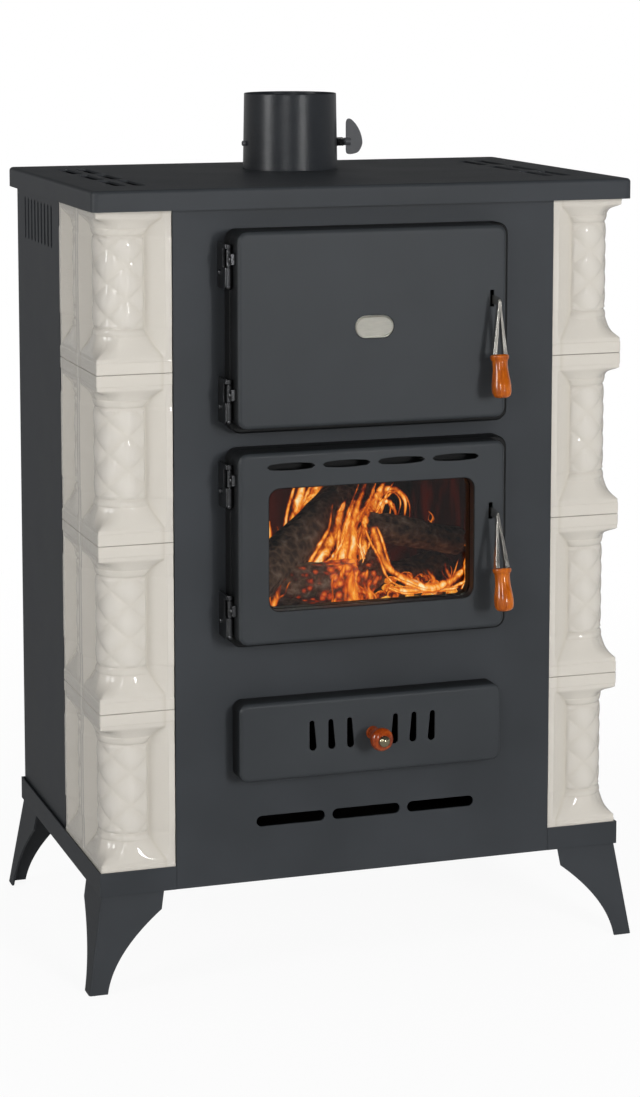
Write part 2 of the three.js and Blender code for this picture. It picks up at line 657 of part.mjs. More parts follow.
function shellGeometry() {
  const bottom = base.floorTop + seat;
  const x = [-shellHalf, shellHalf];
  const insideX = [-shellInside, shellInside];
  const walls = cut(
    boxBetween(x, [shellFront, shellEnd], [bottom, underPlate]),
    boxBetween(insideX, [shellFront - 1, shellBack], [bottom + shell.sheet, underPlate + 1]),
  );
  const overlap = shell.sheet / 2;
  const spanX = [-shellInside - overlap, shellInside + overlap];
  const spanY = [shellFront, shellBack + overlap];
  const hole = {
    x: [door.offset - fireShelf.holeWidth / 2, door.offset + fireShelf.holeWidth / 2],
    y: [grateY - fireShelf.holeDepth / 2, grateY + fireShelf.holeDepth / 2],
  };
  const shelf = cut(
    boxBetween(spanX, spanY, [fireShelf.top - shell.sheet, fireShelf.top]),
    boxBetween(hole.x, hole.y, [fireShelf.top - shell.sheet - 1, fireShelf.top + 1]),
  );
  const baffleTop = ovenMouth[0] - oven.sheet - seat;
  const slotEnd = shellInside - baffle.slotInset;
  const slotY = [baffle.slotFront, shellBack - baffle.behindSlot];
  const slotZ = [baffleTop - baffle.sheet - 1, baffleTop + 1];
  const smokeBaffle = cut(
    boxBetween(spanX, spanY, [baffleTop - baffle.sheet, baffleTop]),
    boxBetween([-slotEnd, -slotEnd + baffle.slotWidth], slotY, slotZ),
    boxBetween([slotEnd - baffle.slotWidth, slotEnd], slotY, slotZ),
  );
  const runnerTop = drawer.bottom + ashPan.drawerMargin - seat;
  const runners = [-1, 1].map((side) => {
    const outer = drawer.offset + side * (ashPan.width / 2 + seat + runner.sheet);
    const inner = outer - side * runner.width;
    const guide = outer - side * runner.sheet;
    const shelfPart = boxBetween(
      [Math.min(outer, inner), Math.max(outer, inner)], spanY, [runnerTop - runner.sheet, runnerTop],
    );
    const guidePart = boxBetween(
      [Math.min(outer, guide), Math.max(outer, guide)], spanY,
      [runnerTop - runner.sheet, runnerTop + runner.lip],
    );
    return join(shelfPart, guidePart);
  });
  return join(walls, shelf, smokeBaffle, ...runners);
}

function ovenBoxGeometry() {
  const outside = [door.offset - mouthHalf - oven.sheet, door.offset + mouthHalf + oven.sheet];
  const inside = [door.offset - mouthHalf, door.offset + mouthHalf];
  const z = [ovenMouth[0] - oven.sheet, ovenMouth[1] + oven.sheet];
  const box = cut(
    boxBetween(outside, [shellFront, ovenBack], z),
    boxBetween(inside, [shellFront - 1, ovenBack - oven.sheet], ovenMouth),
  );
  const ledgeTop = ovenMouth[0] + oven.ledgeHeight;
  const ledgeY = [shellFront + oven.ledge, ovenBack - oven.sheet / 2];
  const ledgeZ = [ledgeTop - oven.sheet, ledgeTop];
  const ledges = [
    boxBetween([inside[0] - oven.sheet / 2, inside[0] + oven.ledge], ledgeY, ledgeZ),
    boxBetween([inside[1] - oven.ledge, inside[1] + oven.sheet / 2], ledgeY, ledgeZ),
  ];
  return join(box, ...ledges);
}

// A wire shelf: two long rods over a row of cross rods that rest on the oven's ledges.
function ovenRackGeometry() {
  const radius = rack.rod / 2;
  const half = mouthHalf - rack.clearance;
  const z = ovenMouth[0] + oven.ledgeHeight + seat + radius;
  const front = shellFront + rack.frontGap;
  const back = ovenBack - rack.backGap;
  const span = back - front;
  const cross = Array.from({ length: rack.crossRods }, (_, index) => rodAlongX(
    radius, door.offset - half, door.offset + half, front + (span * index) / (rack.crossRods - 1), z, 6,
  ));
  const long = [-1, 1].map((side) => {
    const rod = new THREE.CylinderGeometry(radius, radius, span, 6);
    return rod.translate(door.offset + side * (half - rack.rod * 3), (front + back) / 2, z + radius);
  });
  return join(...cross, ...long);
}

function addFirebricks() {
  const z = [fireShelf.top + seat, fireShelf.top + seat + brick.height];
  const outer = shellInside - seat;
  const inner = outer - brick.thickness;
  const sideY = [brick.front, brickBack - seat];
  add('firebrick_left', boxBetween([-outer, -inner], sideY, z), materials.firebrick);
  add('firebrick_right', boxBetween([inner, outer], sideY, z), materials.firebrick);
  add('firebrick_back', boxBetween([-outer, outer], [brickBack, shellBack - seat], z), materials.firebrick);
}

// The fire grate: a plate with a row of bars, whose lip rests on the edge of the fire shelf's hole.
function grateGeometry() {
  const x = fireShelf.holeWidth / 2;
  const y = fireShelf.holeDepth / 2;
  const top = fireShelf.top + seat + grate.lapHeight;
  const lip = boxBetween(
    [-x - grate.lap, x + grate.lap], [-y - grate.lap, y + grate.lap], [fireShelf.top + seat, top],
  );
  const body = boxBetween(
    [-x + 1, x - 1], [-y + 1, y - 1], [top - grate.bodyDepth, top - grate.lapHeight / 2],
  );
  const gaps = centred(grate.bars, grate.barPitch).map((offset) => {
    const outline = uprightSlot(offset, -y + grate.border, 2 * (y - grate.border), grate.barGap / 2);
    return prismAlongZ(outline, top - grate.bodyDepth - 1, top + 1);
  });
  return cut(join(lip, body), ...gaps).translate(door.offset, grateY, 0);
}

// ---------------------------------------------------------------- doors

function pivotPlace(data) {
  return { y: doorFront + latch.pivotDepth, z: data.bottom + latch.pivotHeight };
}

// The fixed frame round a door mouth: side walls that stand on the front panel and a flange facing the door.
// A catch on its right-hand side lies just over the latch's nose.
function doorFrameGeometry(data) {
  const [left, right] = [doorLeft, doorLeft + door.width];
  const [bottom, top] = [data.bottom, data.bottom + data.height];
  const { frameSheet, frameFlange, cornerRadius } = door;
  const rim = (inset) => roundedRectangle(
    left + inset, right - inset, bottom + inset, top - inset, Math.max(cornerRadius - inset, 4),
  );
  const walls = prismAlongY(withHoles(rim(0), [rim(frameSheet)]), -door.frameDepth, -seat);
  const flange = prismAlongY(
    withHoles(rim(0), [rim(frameFlange)]), -door.frameDepth, -door.frameDepth + frameSheet,
  );
  const nose = nosePlace(data);
  const catchBlock = boxBetween(
    [latchX - latch.catchSize, right - frameSheet / 2],
    [nose.y - latch.catchSize, nose.y], [nose.z + seat, nose.z + seat + latch.catchSize],
  );
  return join(walls, flange, catchBlock);
}

// The back end of the latch's nose, on its top edge.
function nosePlace(data) {
  const pivot = pivotPlace(data);
  return { y: pivot.y + latch.nose, z: pivot.z + latch.noseHeight / 2 };
}

// Two ears and a pin inside the door, which carry the latch.
function latchPivot(data) {
  const pivot = pivotPlace(data);
  const ears = [-1, 1].map((side) => {
    const inner = latchX + side * (latch.sheet / 2 + 1);
    const outer = inner + side * latch.sheet;
    const y = [doorFront + door.sheet / 2, pivot.y + latch.eyeRadius];
    const z = [pivot.z - latch.eyeRadius, pivot.z + latch.eyeRadius];
    return boxBetween([Math.min(inner, outer), Math.max(inner, outer)], y, z);
  });
  const reach = latch.sheet * 1.5 + 1;
  return [...ears, rodAlongX(latch.pinRadius, latchX - reach, latchX + reach, pivot.y, pivot.z, 8)];
}

function doorShell(data) {
  return dishedCover({
    left: doorLeft, right: doorLeft + door.width, bottom: data.bottom, top: data.bottom + data.height,
    front: doorFront, back: doorBack, sheet: door.sheet,
    cornerRadius: door.cornerRadius, edgeRadius: door.edgeRadius,
  });
}

function latchSlot(data, front, back, below = latch.slotBelow, above = latch.slotAbove) {
  const bottom = pivotPlace(data).z - below;
  const half = latch.slotWidth / 2;
  return boxBetween([latchX - half, latchX + half], [front, back], [bottom, bottom + below + above]);
}

function linerSlot(data, front, back) {
  return latchSlot(data, front, back, latch.linerSlotBelow, latch.linerSlotAbove);
}

function ovenDoorGeometry() {
  const middle = ovenDoor.bottom + ovenDoor.height / 2;
  const half = ovenDoor.badgeHeight / 2;
  const plateRecess = levelSlot(door.offset, middle, ovenDoor.badgeWidth, ovenDoor.badgeHeight);
  const recess = prismAlongY(plateRecess, doorFront - half, doorFront + badge.depth, badge.arc);
  const slot = latchSlot(ovenDoor, doorFront - 1, doorFront + door.sheet + 1);
  const cover = cut(doorShell(ovenDoor), recess, slot);
  return join(cover, ...latchPivot(ovenDoor));
}

function windowOutline(grow, radius = windowOpening.radius + grow) {
  const centreX = door.offset - windowOpening.offset;
  const bottom = fireDoor.bottom + windowOpening.above;
  return roundedRectangle(
    centreX - windowOpening.width / 2 - grow, centreX + windowOpening.width / 2 + grow,
    bottom - grow, bottom + windowOpening.height + grow, radius,
  );
}

// A slot that is thickest in the middle and thins towards its blunt ends.
function lensSlot(x, z) {
  const half = doorVent.length / 2;
  const points = [];
  for (const side of [-1, 1]) {
    for (const share of [-1, -0.5, 0, 0.5, 1]) {
      const thickness = doorVent.endHeight + (doorVent.height - doorVent.endHeight) * (1 - share * share);
      points.push([x - side * share * half * -1, z + (side * thickness) / 2]);
    }
  }
  return polygon(points);
}

function fireDoorGeometry() {
  const reveal = prismAlongY(
    withHoles(windowOutline(windowOpening.wall), [windowOutline(0)]),
    doorFront + door.sheet / 2, doorFront + windowOpening.reveal,
  );
  const opening = prismAlongY(windowOutline(0), doorFront - 1, doorFront + door.sheet + 1);
  const vents = centred(doorVent.count, doorVent.pitch).map((x) => prismAlongY(
    lensSlot(door.offset + x, fireDoor.bottom + doorVent.above), doorFront - 1, doorFront + door.sheet + 1,
  ));
  const slot = latchSlot(fireDoor, doorFront - 1, doorFront + door.sheet + 1);
  return join(cut(doorShell(fireDoor), opening, slot, ...vents), reveal, ...latchPivot(fireDoor));
}

function glassGeometry() {
  const front = doorFront + windowOpening.reveal + seat;
  return prismAlongY(windowOutline(glass.lap), front, front + glass.thickness);
}

// The plate that closes a door from behind. It stands in front of the rope seal, and the latch passes
// through it.
function linerOutline(data) {
  const gap = door.sheet + liner.clearance;
  return roundedRectangle(
    doorLeft + gap, doorLeft + door.width - gap, data.bottom + gap, data.bottom + data.height - gap,
    door.cornerRadius - door.sheet,
  );
}

function ovenLinerGeometry() {
  const back = doorBack - ovenDoor.linerSetBack;
  const front = back - liner.sheet;
  return cut(prismAlongY(linerOutline(ovenDoor), front, back), linerSlot(ovenDoor, front - 1, back + 1));
}

// The fire door's liner has the window's hole and a collar that holds the glass against the window's reveal.
function fireLinerGeometry() {
  const back = doorBack - fireDoor.linerSetBack;
  const front = back - liner.sheet;
  const glassBack = doorFront + windowOpening.reveal + seat + glass.thickness + seat;
  const sheet = prismAlongY(linerOutline(fireDoor), front, back);
  const collar = prismAlongY(windowOutline(windowOpening.wall), glassBack, back);
  const opening = prismAlongY(windowOutline(0), glassBack - 1, back + 1);
  return cut(join(sheet, collar), opening, linerSlot(fireDoor, front - 1, back + 1));
}

// A rope seal between the liner and the frame's flange, run round as a rounded rectangle.
function gasketGeometry(data) {
  const radius = gasket.thickness / 2 - seat;
  const centreY = doorBack - data.linerSetBack + gasket.thickness / 2;
  const inset = door.sheet + liner.clearance + radius;
  const path = rectanglePoints(
    doorLeft + inset, doorLeft + door.width - inset, data.bottom + inset, data.bottom + data.height - inset,
    door.cornerRadius + gasket.thickness,
  );
  const rings = path.map((point, index) => {
    const before = path[(index + path.length - 1) % path.length];
    const after = path[(index + 1) % path.length];
    const along = new THREE.Vector2().subVectors(after, before).normalize();
    return Array.from({ length: gasket.sides }, (_, side) => {
      const angle = (wholeTurn * (side + 0.5)) / gasket.sides;
      const out = radius * Math.cos(angle);
      const level = centreY + radius * Math.sin(angle);
      return new THREE.Vector3(point.x + along.y * out, level, point.y - along.x * out);
    });
  });
  return loft(rings, 'loop');
}

// ---------------------------------------------------------------- hinges

function hingeHeights(data) {
  const half = hinge.wingHeight / 2;
  const top = data.bottom + data.height;
  return { lower: data.bottom + hinge.lowerInset - half, upper: top - hinge.upperInset - half };
}

// The half on the stove: a wing that stands on the front panel, its knuckle, the pin and the pin's head.
function fixedHingeGeometry(bottom) {
  const wingRight = hingeX - hinge.barrelRadius + hinge.wing / 2;
  const wing = boxBetween(
    [wingRight - hinge.wing, wingRight], [hingeY, -seat], [bottom, bottom + hinge.wingHeight],
  );
  const kneeTop = bottom + hinge.cap + hinge.knuckle;
  const sleeveTop = kneeTop + hinge.knuckle + 2 * hinge.gap;
  const clear = rodAlongZ(
    hinge.notch, kneeTop, sleeveTop, hingeX, hingeY, hinge.sides,
  );
  const bolt = rodAlongX(
    hinge.boltRadius, wingRight - hinge.wing - hinge.boltHead, wingRight - hinge.wing / 2,
    hingeY / 3, bottom + hinge.wingHeight * 0.35, 6,
  );
  return join(
    cut(wing, clear), bolt,
    rodAlongZ(hinge.barrelRadius, bottom, kneeTop, hingeX, hingeY, hinge.sides),
    rodAlongZ(hinge.pinRadius, kneeTop - 1, sleeveTop + 1, hingeX, hingeY, hinge.sides),
    rodAlongZ(hinge.barrelRadius, sleeveTop, sleeveTop + hinge.cap, hingeX, hingeY, hinge.sides),
  );
}

// The half on the door: a sleeve that turns on the pin and an ear bolted to the door's side.
function movingHingeGeometry(bottom) {
  const low = bottom + hinge.cap + hinge.knuckle + hinge.gap;
  const wall = doorLeft - seat;
  const ear = boxBetween(
    [hingeX - hinge.barrelRadius / 2, wall], [hingeY - hinge.ear, hingeY],
    [low + (hinge.knuckle - hinge.earHeight) / 2, low + (hinge.knuckle + hinge.earHeight) / 2],
  );
  const bolt = rodAlongX(
    hinge.boltRadius, hingeX - hinge.barrelRadius / 2 - hinge.boltHead, hingeX,
    hingeY - hinge.ear + hinge.boltRadius + 1, low + hinge.knuckle / 2, 6,
  );
  const top = low + hinge.knuckle;
  const sleeve = rodAlongZ(hinge.barrelRadius, low, top, hingeX, hingeY, hinge.sides);
  const bore = rodAlongZ(hinge.pinRadius + hinge.clearance, low - 1, top + 1, hingeX, hingeY, hinge.sides);
  return cut(join(ear, bolt, sleeve), bore);
}

// ---------------------------------------------------------------- latches and grips

// The latch is drawn about its pivot at 0, 0, 0: a web with the nose at its back and two strips that hang
// from its front end and spread down to the grip.
function latchGeometry(stripLean) {
  const half = latch.sheet / 2;
  const { nose, noseHeight, eyeRadius, shoulder, stripDepth } = latch;
  const front = -shoulder - stripDepth / 2;
  const side = polygon([
    [nose, -noseHeight / 2], [nose, noseHeight / 2], [eyeRadius, noseHeight / 2], [0, eyeRadius],
    [-eyeRadius, noseHeight / 2], [-shoulder, 2], [front, 0], [front, -stripDepth / 2],
    [-shoulder + stripDepth / 2, -stripDepth], [-latch.pivotDepth, -eyeRadius - 2], [0, -eyeRadius],
    [eyeRadius, -noseHeight / 2],
  ].reverse());
  const web = prismAlongX(side, -half, half);
  const eye = rodAlongX(latch.pinRadius + seat, -latch.sheet, latch.sheet, 0, 0, 8);
  const strips = [-1, 1].map((hand) => latchStrip(hand, stripLean));
  return join(cut(web, eye), ...strips);
}

// Where the strips end and the grip begins, seen from the pivot.
function stripEnd(stripLean) {
  const angle = degrees(stripLean);
  return {
    y: -latch.shoulder - latch.stripLength * Math.sin(angle),
    z: -2 - latch.stripLength * Math.cos(angle),
  };
}

// One strip; its lower end is cut in line with the top of the leaning grip.
function latchStrip(hand, stripLean) {
  const end = stripEnd(stripLean);
  const slope = Math.tan(degrees(grip.lean));
  const ringAt = (share) => {
    const x = hand * THREE.MathUtils.lerp(latch.stripTopSpread, latch.stripSpread, share);
    const y = THREE.MathUtils.lerp(-latch.shoulder, end.y, share);
    const z = THREE.MathUtils.lerp(-2, end.z, share);
    const w = latch.strip / 2;
    const d = latch.stripDepth / 2;
    return [[-w, -d], [w, -d], [w, d], [-w, d]].map(
      ([dx, dy]) => new THREE.Vector3(x + dx, y + dy, z - dy * slope * share),
    );
  };
  return loft([ringAt(1), ringAt(0)]);
}

// A turned wooden grip: collar, neck, belly and rounded end, from its top downwards.
function gripGeometry() {
  const { length, collarRadius, neckRadius, bellyRadius, endRadius } = grip;
  const profile = [
    [0, 0], [collarRadius - 1.2, 0], [collarRadius, 0.03], [collarRadius, 0.1], [neckRadius, 0.16],
    [neckRadius, 0.36], [bellyRadius - 2, 0.56], [bellyRadius, 0.73], [bellyRadius - 1, 0.86],
    [endRadius + 1.6, 0.96], [endRadius - 2, 1], [0, 1],
  ].map(([radius, share]) => new THREE.Vector2(radius, -length * share));
  return new THREE.LatheGeometry(profile.reverse(), 12).rotateX(rightAngle);
}

function addHandle(name, data, parent) {
  const pivot = pivotPlace(data);
  const handle = new THREE.Group();
  handle.position.set(latchX, pivot.y, pivot.z);
  parent.add(handle);
  add(`${name}_latch`, latchGeometry(data.handleLean), materials.chrome, handle);
  const piece = add(`${name}_grip`, gripGeometry(), materials.wood, handle);
  const end = stripEnd(data.handleLean);
  piece.position.set(0, end.y, end.z - seat);
  piece.rotation.x = -degrees(grip.lean);
}

function addDoor(name, data, cover, linerPlate) {
  const group = new THREE.Group();
  stove.add(group);
  add(`${name}_frame`, doorFrameGeometry(data), materials.paintedSteel);
  add(`${name}_cover`, cover, materials.paintedSteel, group);
  add(`${name}_liner`, linerPlate, materials.innerSteel, group);
  for (const [place, bottom] of Object.entries(hingeHeights(data))) {
    add(`${name}_hinge_${place}_fixed`, fixedHingeGeometry(bottom), materials.hingeSteel);
    add(`${name}_hinge_${place}_moving`, movingHingeGeometry(bottom), materials.hingeSteel, group);
  }
  addHandle(name, data, group);
  return group;
}

// ---------------------------------------------------------------- ash drawer

function drawerFrontGeometry() {
  const half = drawer.width / 2;
  const cover = dishedCover({
    left: drawer.offset - half, right: drawer.offset + half,
    bottom: drawer.bottom, top: drawer.bottom + drawer.height,
    front: -drawer.depth - seat, back: -seat, sheet: drawer.sheet,
    cornerRadius: drawer.cornerRadius, edgeRadius: drawer.edgeRadius,
  });
  const face = -drawer.depth - seat;
  const middle = drawer.bottom + drawerSlot.above;
  const slots = [];
  for (const side of [-1, 1]) {
    for (let index = 0; index < 3; index += 1) {
      const x = drawer.offset + side * (drawerSlot.inner + index * drawerSlot.pitch);
      const outline = uprightSlot(
        x, middle - drawerSlot.height / 2, drawerSlot.height, drawerSlot.width / 2,
        drawerSlot.width / 2 - drawerSlot.taper, side * drawerSlot.lean,
      );
      slots.push(prismAlongY(outline, face - 1, face + drawer.sheet + 1));
    }
  }
  return cut(cover, ...slots);
}

function ashPanGeometry() {
  const half = ashPan.width / 2;
  const x = [drawer.offset - half, drawer.offset + half];
  const y = [-drawer.depth + drawer.sheet, shellBack - ashPan.behind];
  const bottom = drawer.bottom + ashPan.drawerMargin;
  const z = [bottom, bottom + ashPan.height];
  const inside = [x[0] + ashPan.sheet, x[1] - ashPan.sheet];
  return cut(
    boxBetween(x, y, z),
    boxBetween(inside, [y[0] + ashPan.sheet, y[1] - ashPan.sheet], [bottom + ashPan.sheet, z[1] + 1]),
    boxBetween([x[0] - 1, x[1] + 1], [y[0] - 1, shellFront], [bottom + ashPan.frontHeight, z[1] + 1]),
  );
}

// A turned wooden knob: a neck and a flattened ball, with a domed screw head in its middle.
function addKnob(parent) {
  const face = -drawer.depth - seat - seat;
  const { neckRadius, neckLength, ballRadius, ballDepth } = knob;
  const steps = 6;
  const profile = [
    new THREE.Vector2(0, 0), new THREE.Vector2(neckRadius + 2, 0), new THREE.Vector2(neckRadius, 4),
  ];
  for (let step = 0; step <= steps; step += 1) {
    const angle = -rightAngle * 0.72 + (rightAngle * 1.6 * step) / steps;
    profile.push(new THREE.Vector2(
      ballRadius * Math.cos(angle), neckLength + (ballDepth / 2) * (1 + Math.sin(angle)),
    ));
  }
  const tip = profile[profile.length - 1].y;
  profile.push(new THREE.Vector2(0, tip));
  const place = new THREE.Group();
  place.position.set(drawer.offset, face, drawer.bottom + knob.above);
  place.rotation.x = Math.PI;
  parent.add(place);
  add('ash_drawer_knob', new THREE.LatheGeometry(profile, 14), materials.wood, place);
  const dome = [];
  for (let step = 0; step <= 4; step += 1) {
    const angle = (rightAngle * step) / 4;
    dome.push(new THREE.Vector2(knobScrew.radius * Math.cos(angle), knobScrew.dome * Math.sin(angle)));
  }
  dome[4].x = 0;
  const screw = add('ash_drawer_knob_screw', new THREE.LatheGeometry(
    [new THREE.Vector2(0, 0), ...dome], 12,
  ), materials.brass, place);
  screw.position.y = tip + seat;
}

// ---------------------------------------------------------------- flue and damper

const spindleZ = plate.top + damper.height;

function flueGeometry() {
  const bottom = plate.top - plate.sheet - flue.below;
  const top = plate.top + flue.height;
  const flangeTop = plate.top - plate.sheet - seat;
  const profile = [
    [flue.radius - flue.wall, bottom], [flue.radius, bottom], [flue.radius, flangeTop - flue.flangeHeight],
    [flue.radius + flue.flange, flangeTop - flue.flangeHeight], [flue.radius + flue.flange, flangeTop],
    [flue.radius, flangeTop], [flue.topRadius, top], [flue.topRadius - flue.wall, top],
    [flue.radius - flue.wall, bottom],
  ].map(([radius, z]) => new THREE.Vector2(radius, z));
  const tube = new THREE.LatheGeometry(profile, flue.sides).rotateX(rightAngle);
  const reach = flue.radius + flue.flange;
  const bore = rodAlongX(damper.spindleRadius + seat, -reach, reach, 0, spindleZ, 10);
  return cut(tube, bore).translate(0, flueY, 0);
}

// The damper: a disc on a spindle that runs through the flue's wall, with a flat, rounded key on its
// right-hand end in line with the disc.
function damperGeometry() {
  const disc = new THREE.CylinderGeometry(damper.discRadius, damper.discRadius, damper.disc, flue.sides);
  const left = flue.radius + damper.springLength + seat * 2;
  const right = left + damper.hubLength;
  const spindle = rodAlongX(damper.spindleRadius, -flue.radius - damper.leftEnd, right, 0, 0, 10);
  const hub = rodAlongX(damper.spindleRadius + damper.hubWall, left, right, 0, 0, 10);
  return join(disc, spindle, hub, damperKey(left + 1));
}

function damperKey(left) {
  const { handleTopWidth, handleWidth, handleUp, handleDown, handleThickness } = damper;
  const shape = new THREE.Shape();
  shape.moveTo(left + 2, -handleDown + 6);
  shape.quadraticCurveTo(left + 3, -handleDown, left + handleWidth * 0.42, -handleDown);
  shape.quadraticCurveTo(left + handleWidth, -handleDown + 1, left + handleWidth, 0);
  shape.quadraticCurveTo(left + handleWidth - 2, handleUp * 0.62, left + handleTopWidth + 2, handleUp - 2);
  shape.quadraticCurveTo(left + handleTopWidth / 2 + 2, handleUp + 2, left + 3, handleUp - 5);
  shape.closePath();
  return prismAlongY(shape, -handleThickness / 2, handleThickness / 2, 5);
}

class SpringPath extends THREE.Curve {
  getPoint(share, target = new THREE.Vector3()) {
    const angle = share * damper.coils * wholeTurn;
    return target.set(
      flue.radius + seat * 2 + damper.wire / 2 + share * (damper.springLength - damper.wire - seat),
      damper.springRadius * Math.cos(angle), damper.springRadius * Math.sin(angle),
    );
  }
}

// The least gap between two curls of the spring, measured on points at least half a curl apart.
function springGap(path) {
  const points = path.getPoints(damper.coils * 48);
  const least = points.map((point, index) => Math.min(
    ...points.slice(index + 24).map((other) => point.distanceTo(other)), Infinity,
  ));
  return Math.min(...least) - damper.wire;
}

function springGeometry() {
  const path = new SpringPath();
  console.log(`damper_spring: least gap between curls ${springGap(path).toFixed(2)} mm`);
  const section = new THREE.Shape();
  section.absarc(0, 0, damper.wire / 2, 0, wholeTurn, false);
  const pentagon = new THREE.Shape(section.getSpacedPoints(5).slice(0, -1));
  return new THREE.ExtrudeGeometry(pentagon, {
    extrudePath: path, steps: damper.coils * 8, bevelEnabled: false,
  });
}

function addDamper() {
  const group = new THREE.Group();
  group.position.set(0, flueY, spindleZ);
  stove.add(group);
  add('damper', damperGeometry(), materials.innerSteel, group);
  add('damper_spring', springGeometry(), materials.hingeSteel, group);
}

// ---------------------------------------------------------------- assembly

add('base_tray', baseTray(), materials.paintedSteel);
addLegs();
add('front_panel', frontPanelGeometry(), materials.paintedSteel);
add('side_panel_left', sidePanelGeometry(-1), materials.paintedSteel);
add('side_panel_right', sidePanelGeometry(1), materials.paintedSteel);
add('back_panel', backPanelGeometry(), materials.paintedSteel);
add('top_plate', topPlateGeometry(), materials.paintedSteel);
addTiles();
add('body_shell', shellGeometry(), materials.innerSteel);
add('oven_box', ovenBoxGeometry(), materials.enamel);
add('oven_rack', ovenRackGeometry(), materials.chrome);
addFirebricks();
add('fire_grate', grateGeometry(), materials.castIron);
addDoor('oven_door', ovenDoor, ovenDoorGeometry(), ovenLinerGeometry());
const fireDoorGroup = addDoor('fire_door', fireDoor, fireDoorGeometry(), fireLinerGeometry());
add('fire_door_glass', glassGeometry(), materials.glass, fireDoorGroup);
add('fire_door_seal', gasketGeometry(fireDoor), materials.rope, fireDoorGroup);
const drawerGroup = new THREE.Group();
stove.add(drawerGroup);
add('ash_drawer_front', drawerFrontGeometry(), materials.paintedSteel, drawerGroup);
add('ash_pan', ashPanGeometry(), materials.innerSteel, drawerGroup);
addKnob(drawerGroup);
add('flue_spigot', flueGeometry(), materials.paintedSteel);
addDamper();

// Stand the stove on Z = 0, with the middle of its bounding box over the origin.
stove.updateMatrixWorld(true);
const bounds = new THREE.Box3().setFromObject(stove);
const middle = bounds.getCenter(new THREE.Vector3());
stove.position.set(-middle.x, -middle.y, -bounds.min.z);

export default stove;
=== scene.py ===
import math
import random

import bmesh
import bpy
from mathutils import Matrix, Vector
from mathutils.geometry import tessellate_polygon


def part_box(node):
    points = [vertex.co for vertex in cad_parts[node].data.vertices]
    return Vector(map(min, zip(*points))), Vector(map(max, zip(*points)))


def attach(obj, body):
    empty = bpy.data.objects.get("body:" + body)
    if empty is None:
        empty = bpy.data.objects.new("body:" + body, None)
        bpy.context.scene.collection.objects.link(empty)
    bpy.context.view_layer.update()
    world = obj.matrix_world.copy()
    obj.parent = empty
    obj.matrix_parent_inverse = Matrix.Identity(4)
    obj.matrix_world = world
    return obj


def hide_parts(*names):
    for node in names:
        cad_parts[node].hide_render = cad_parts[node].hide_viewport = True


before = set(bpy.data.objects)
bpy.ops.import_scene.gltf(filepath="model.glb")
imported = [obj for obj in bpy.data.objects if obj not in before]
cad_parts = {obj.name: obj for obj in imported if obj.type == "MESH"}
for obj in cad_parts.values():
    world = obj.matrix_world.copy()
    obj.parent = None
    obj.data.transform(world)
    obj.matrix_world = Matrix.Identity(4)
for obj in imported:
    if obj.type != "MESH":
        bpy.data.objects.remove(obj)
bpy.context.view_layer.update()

# The stove is drawn in millimetres: X from its middle plane, Y from the face of its front panel,
# Z from the underside of its base tray. STOVE turns that into metres of the row frame.
tray_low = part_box("base_tray")[0]
STOVE = Matrix.Translation((0.0, tray_low.y, tray_low.z)) @ Matrix.Scale(0.001, 4)


# ---------------------------------------------------------------- materials

def linear(code):
    """A colour written as six hex digits, as linear light."""
    parts = [int(code[i:i + 2], 16) / 255 for i in (0, 2, 4)]
    return tuple(c / 12.92 if c <= 0.04045 else ((c + 0.055) / 1.055) ** 2.4 for c in parts) + (1.0,)


class Graph:
    """A node tree and the ways to add to it."""

    def __init__(self, tree):
        self.tree = tree

    def link(self, output, socket):
        self.tree.links.new(output, socket)

    def node(self, kind, inputs=(), **settings):
        """A new node with its settings, and with a value or a link on each input that is named."""
        made = self.tree.nodes.new(kind)
        for name, value in settings.items():
            setattr(made, name, value)
        for name, value in dict(inputs).items():
            if isinstance(value, bpy.types.NodeSocket):
                self.link(value, made.inputs[name])
            else:
                made.inputs[name].default_value = value
        return made

    def calc(self, operation, *values):
        return self.node("ShaderNodeMath", enumerate(values), operation=operation).outputs[0]

    def span(self, value, low, high, start=0.3, end=0.7):
        """The value's range from start to end, spread over low to high."""
        return self.node("ShaderNodeMapRange", {"Value": value, "From Min": start, "From Max": end,
                                                "To Min": low, "To Max": high}).outputs["Result"]

    def by_ray(self, kind, shade, *choices):
        """The shade, or an even white glow of the given kind and strength for each share of the rays."""
        for share, strength in choices:
            glow = self.node(kind, {"Color": (1, 1, 1, 1), "Strength": strength}).outputs[0]
            shade = self.node("ShaderNodeMixShader", {0: share, 1: shade, 2: glow}).outputs[0]
        return shade


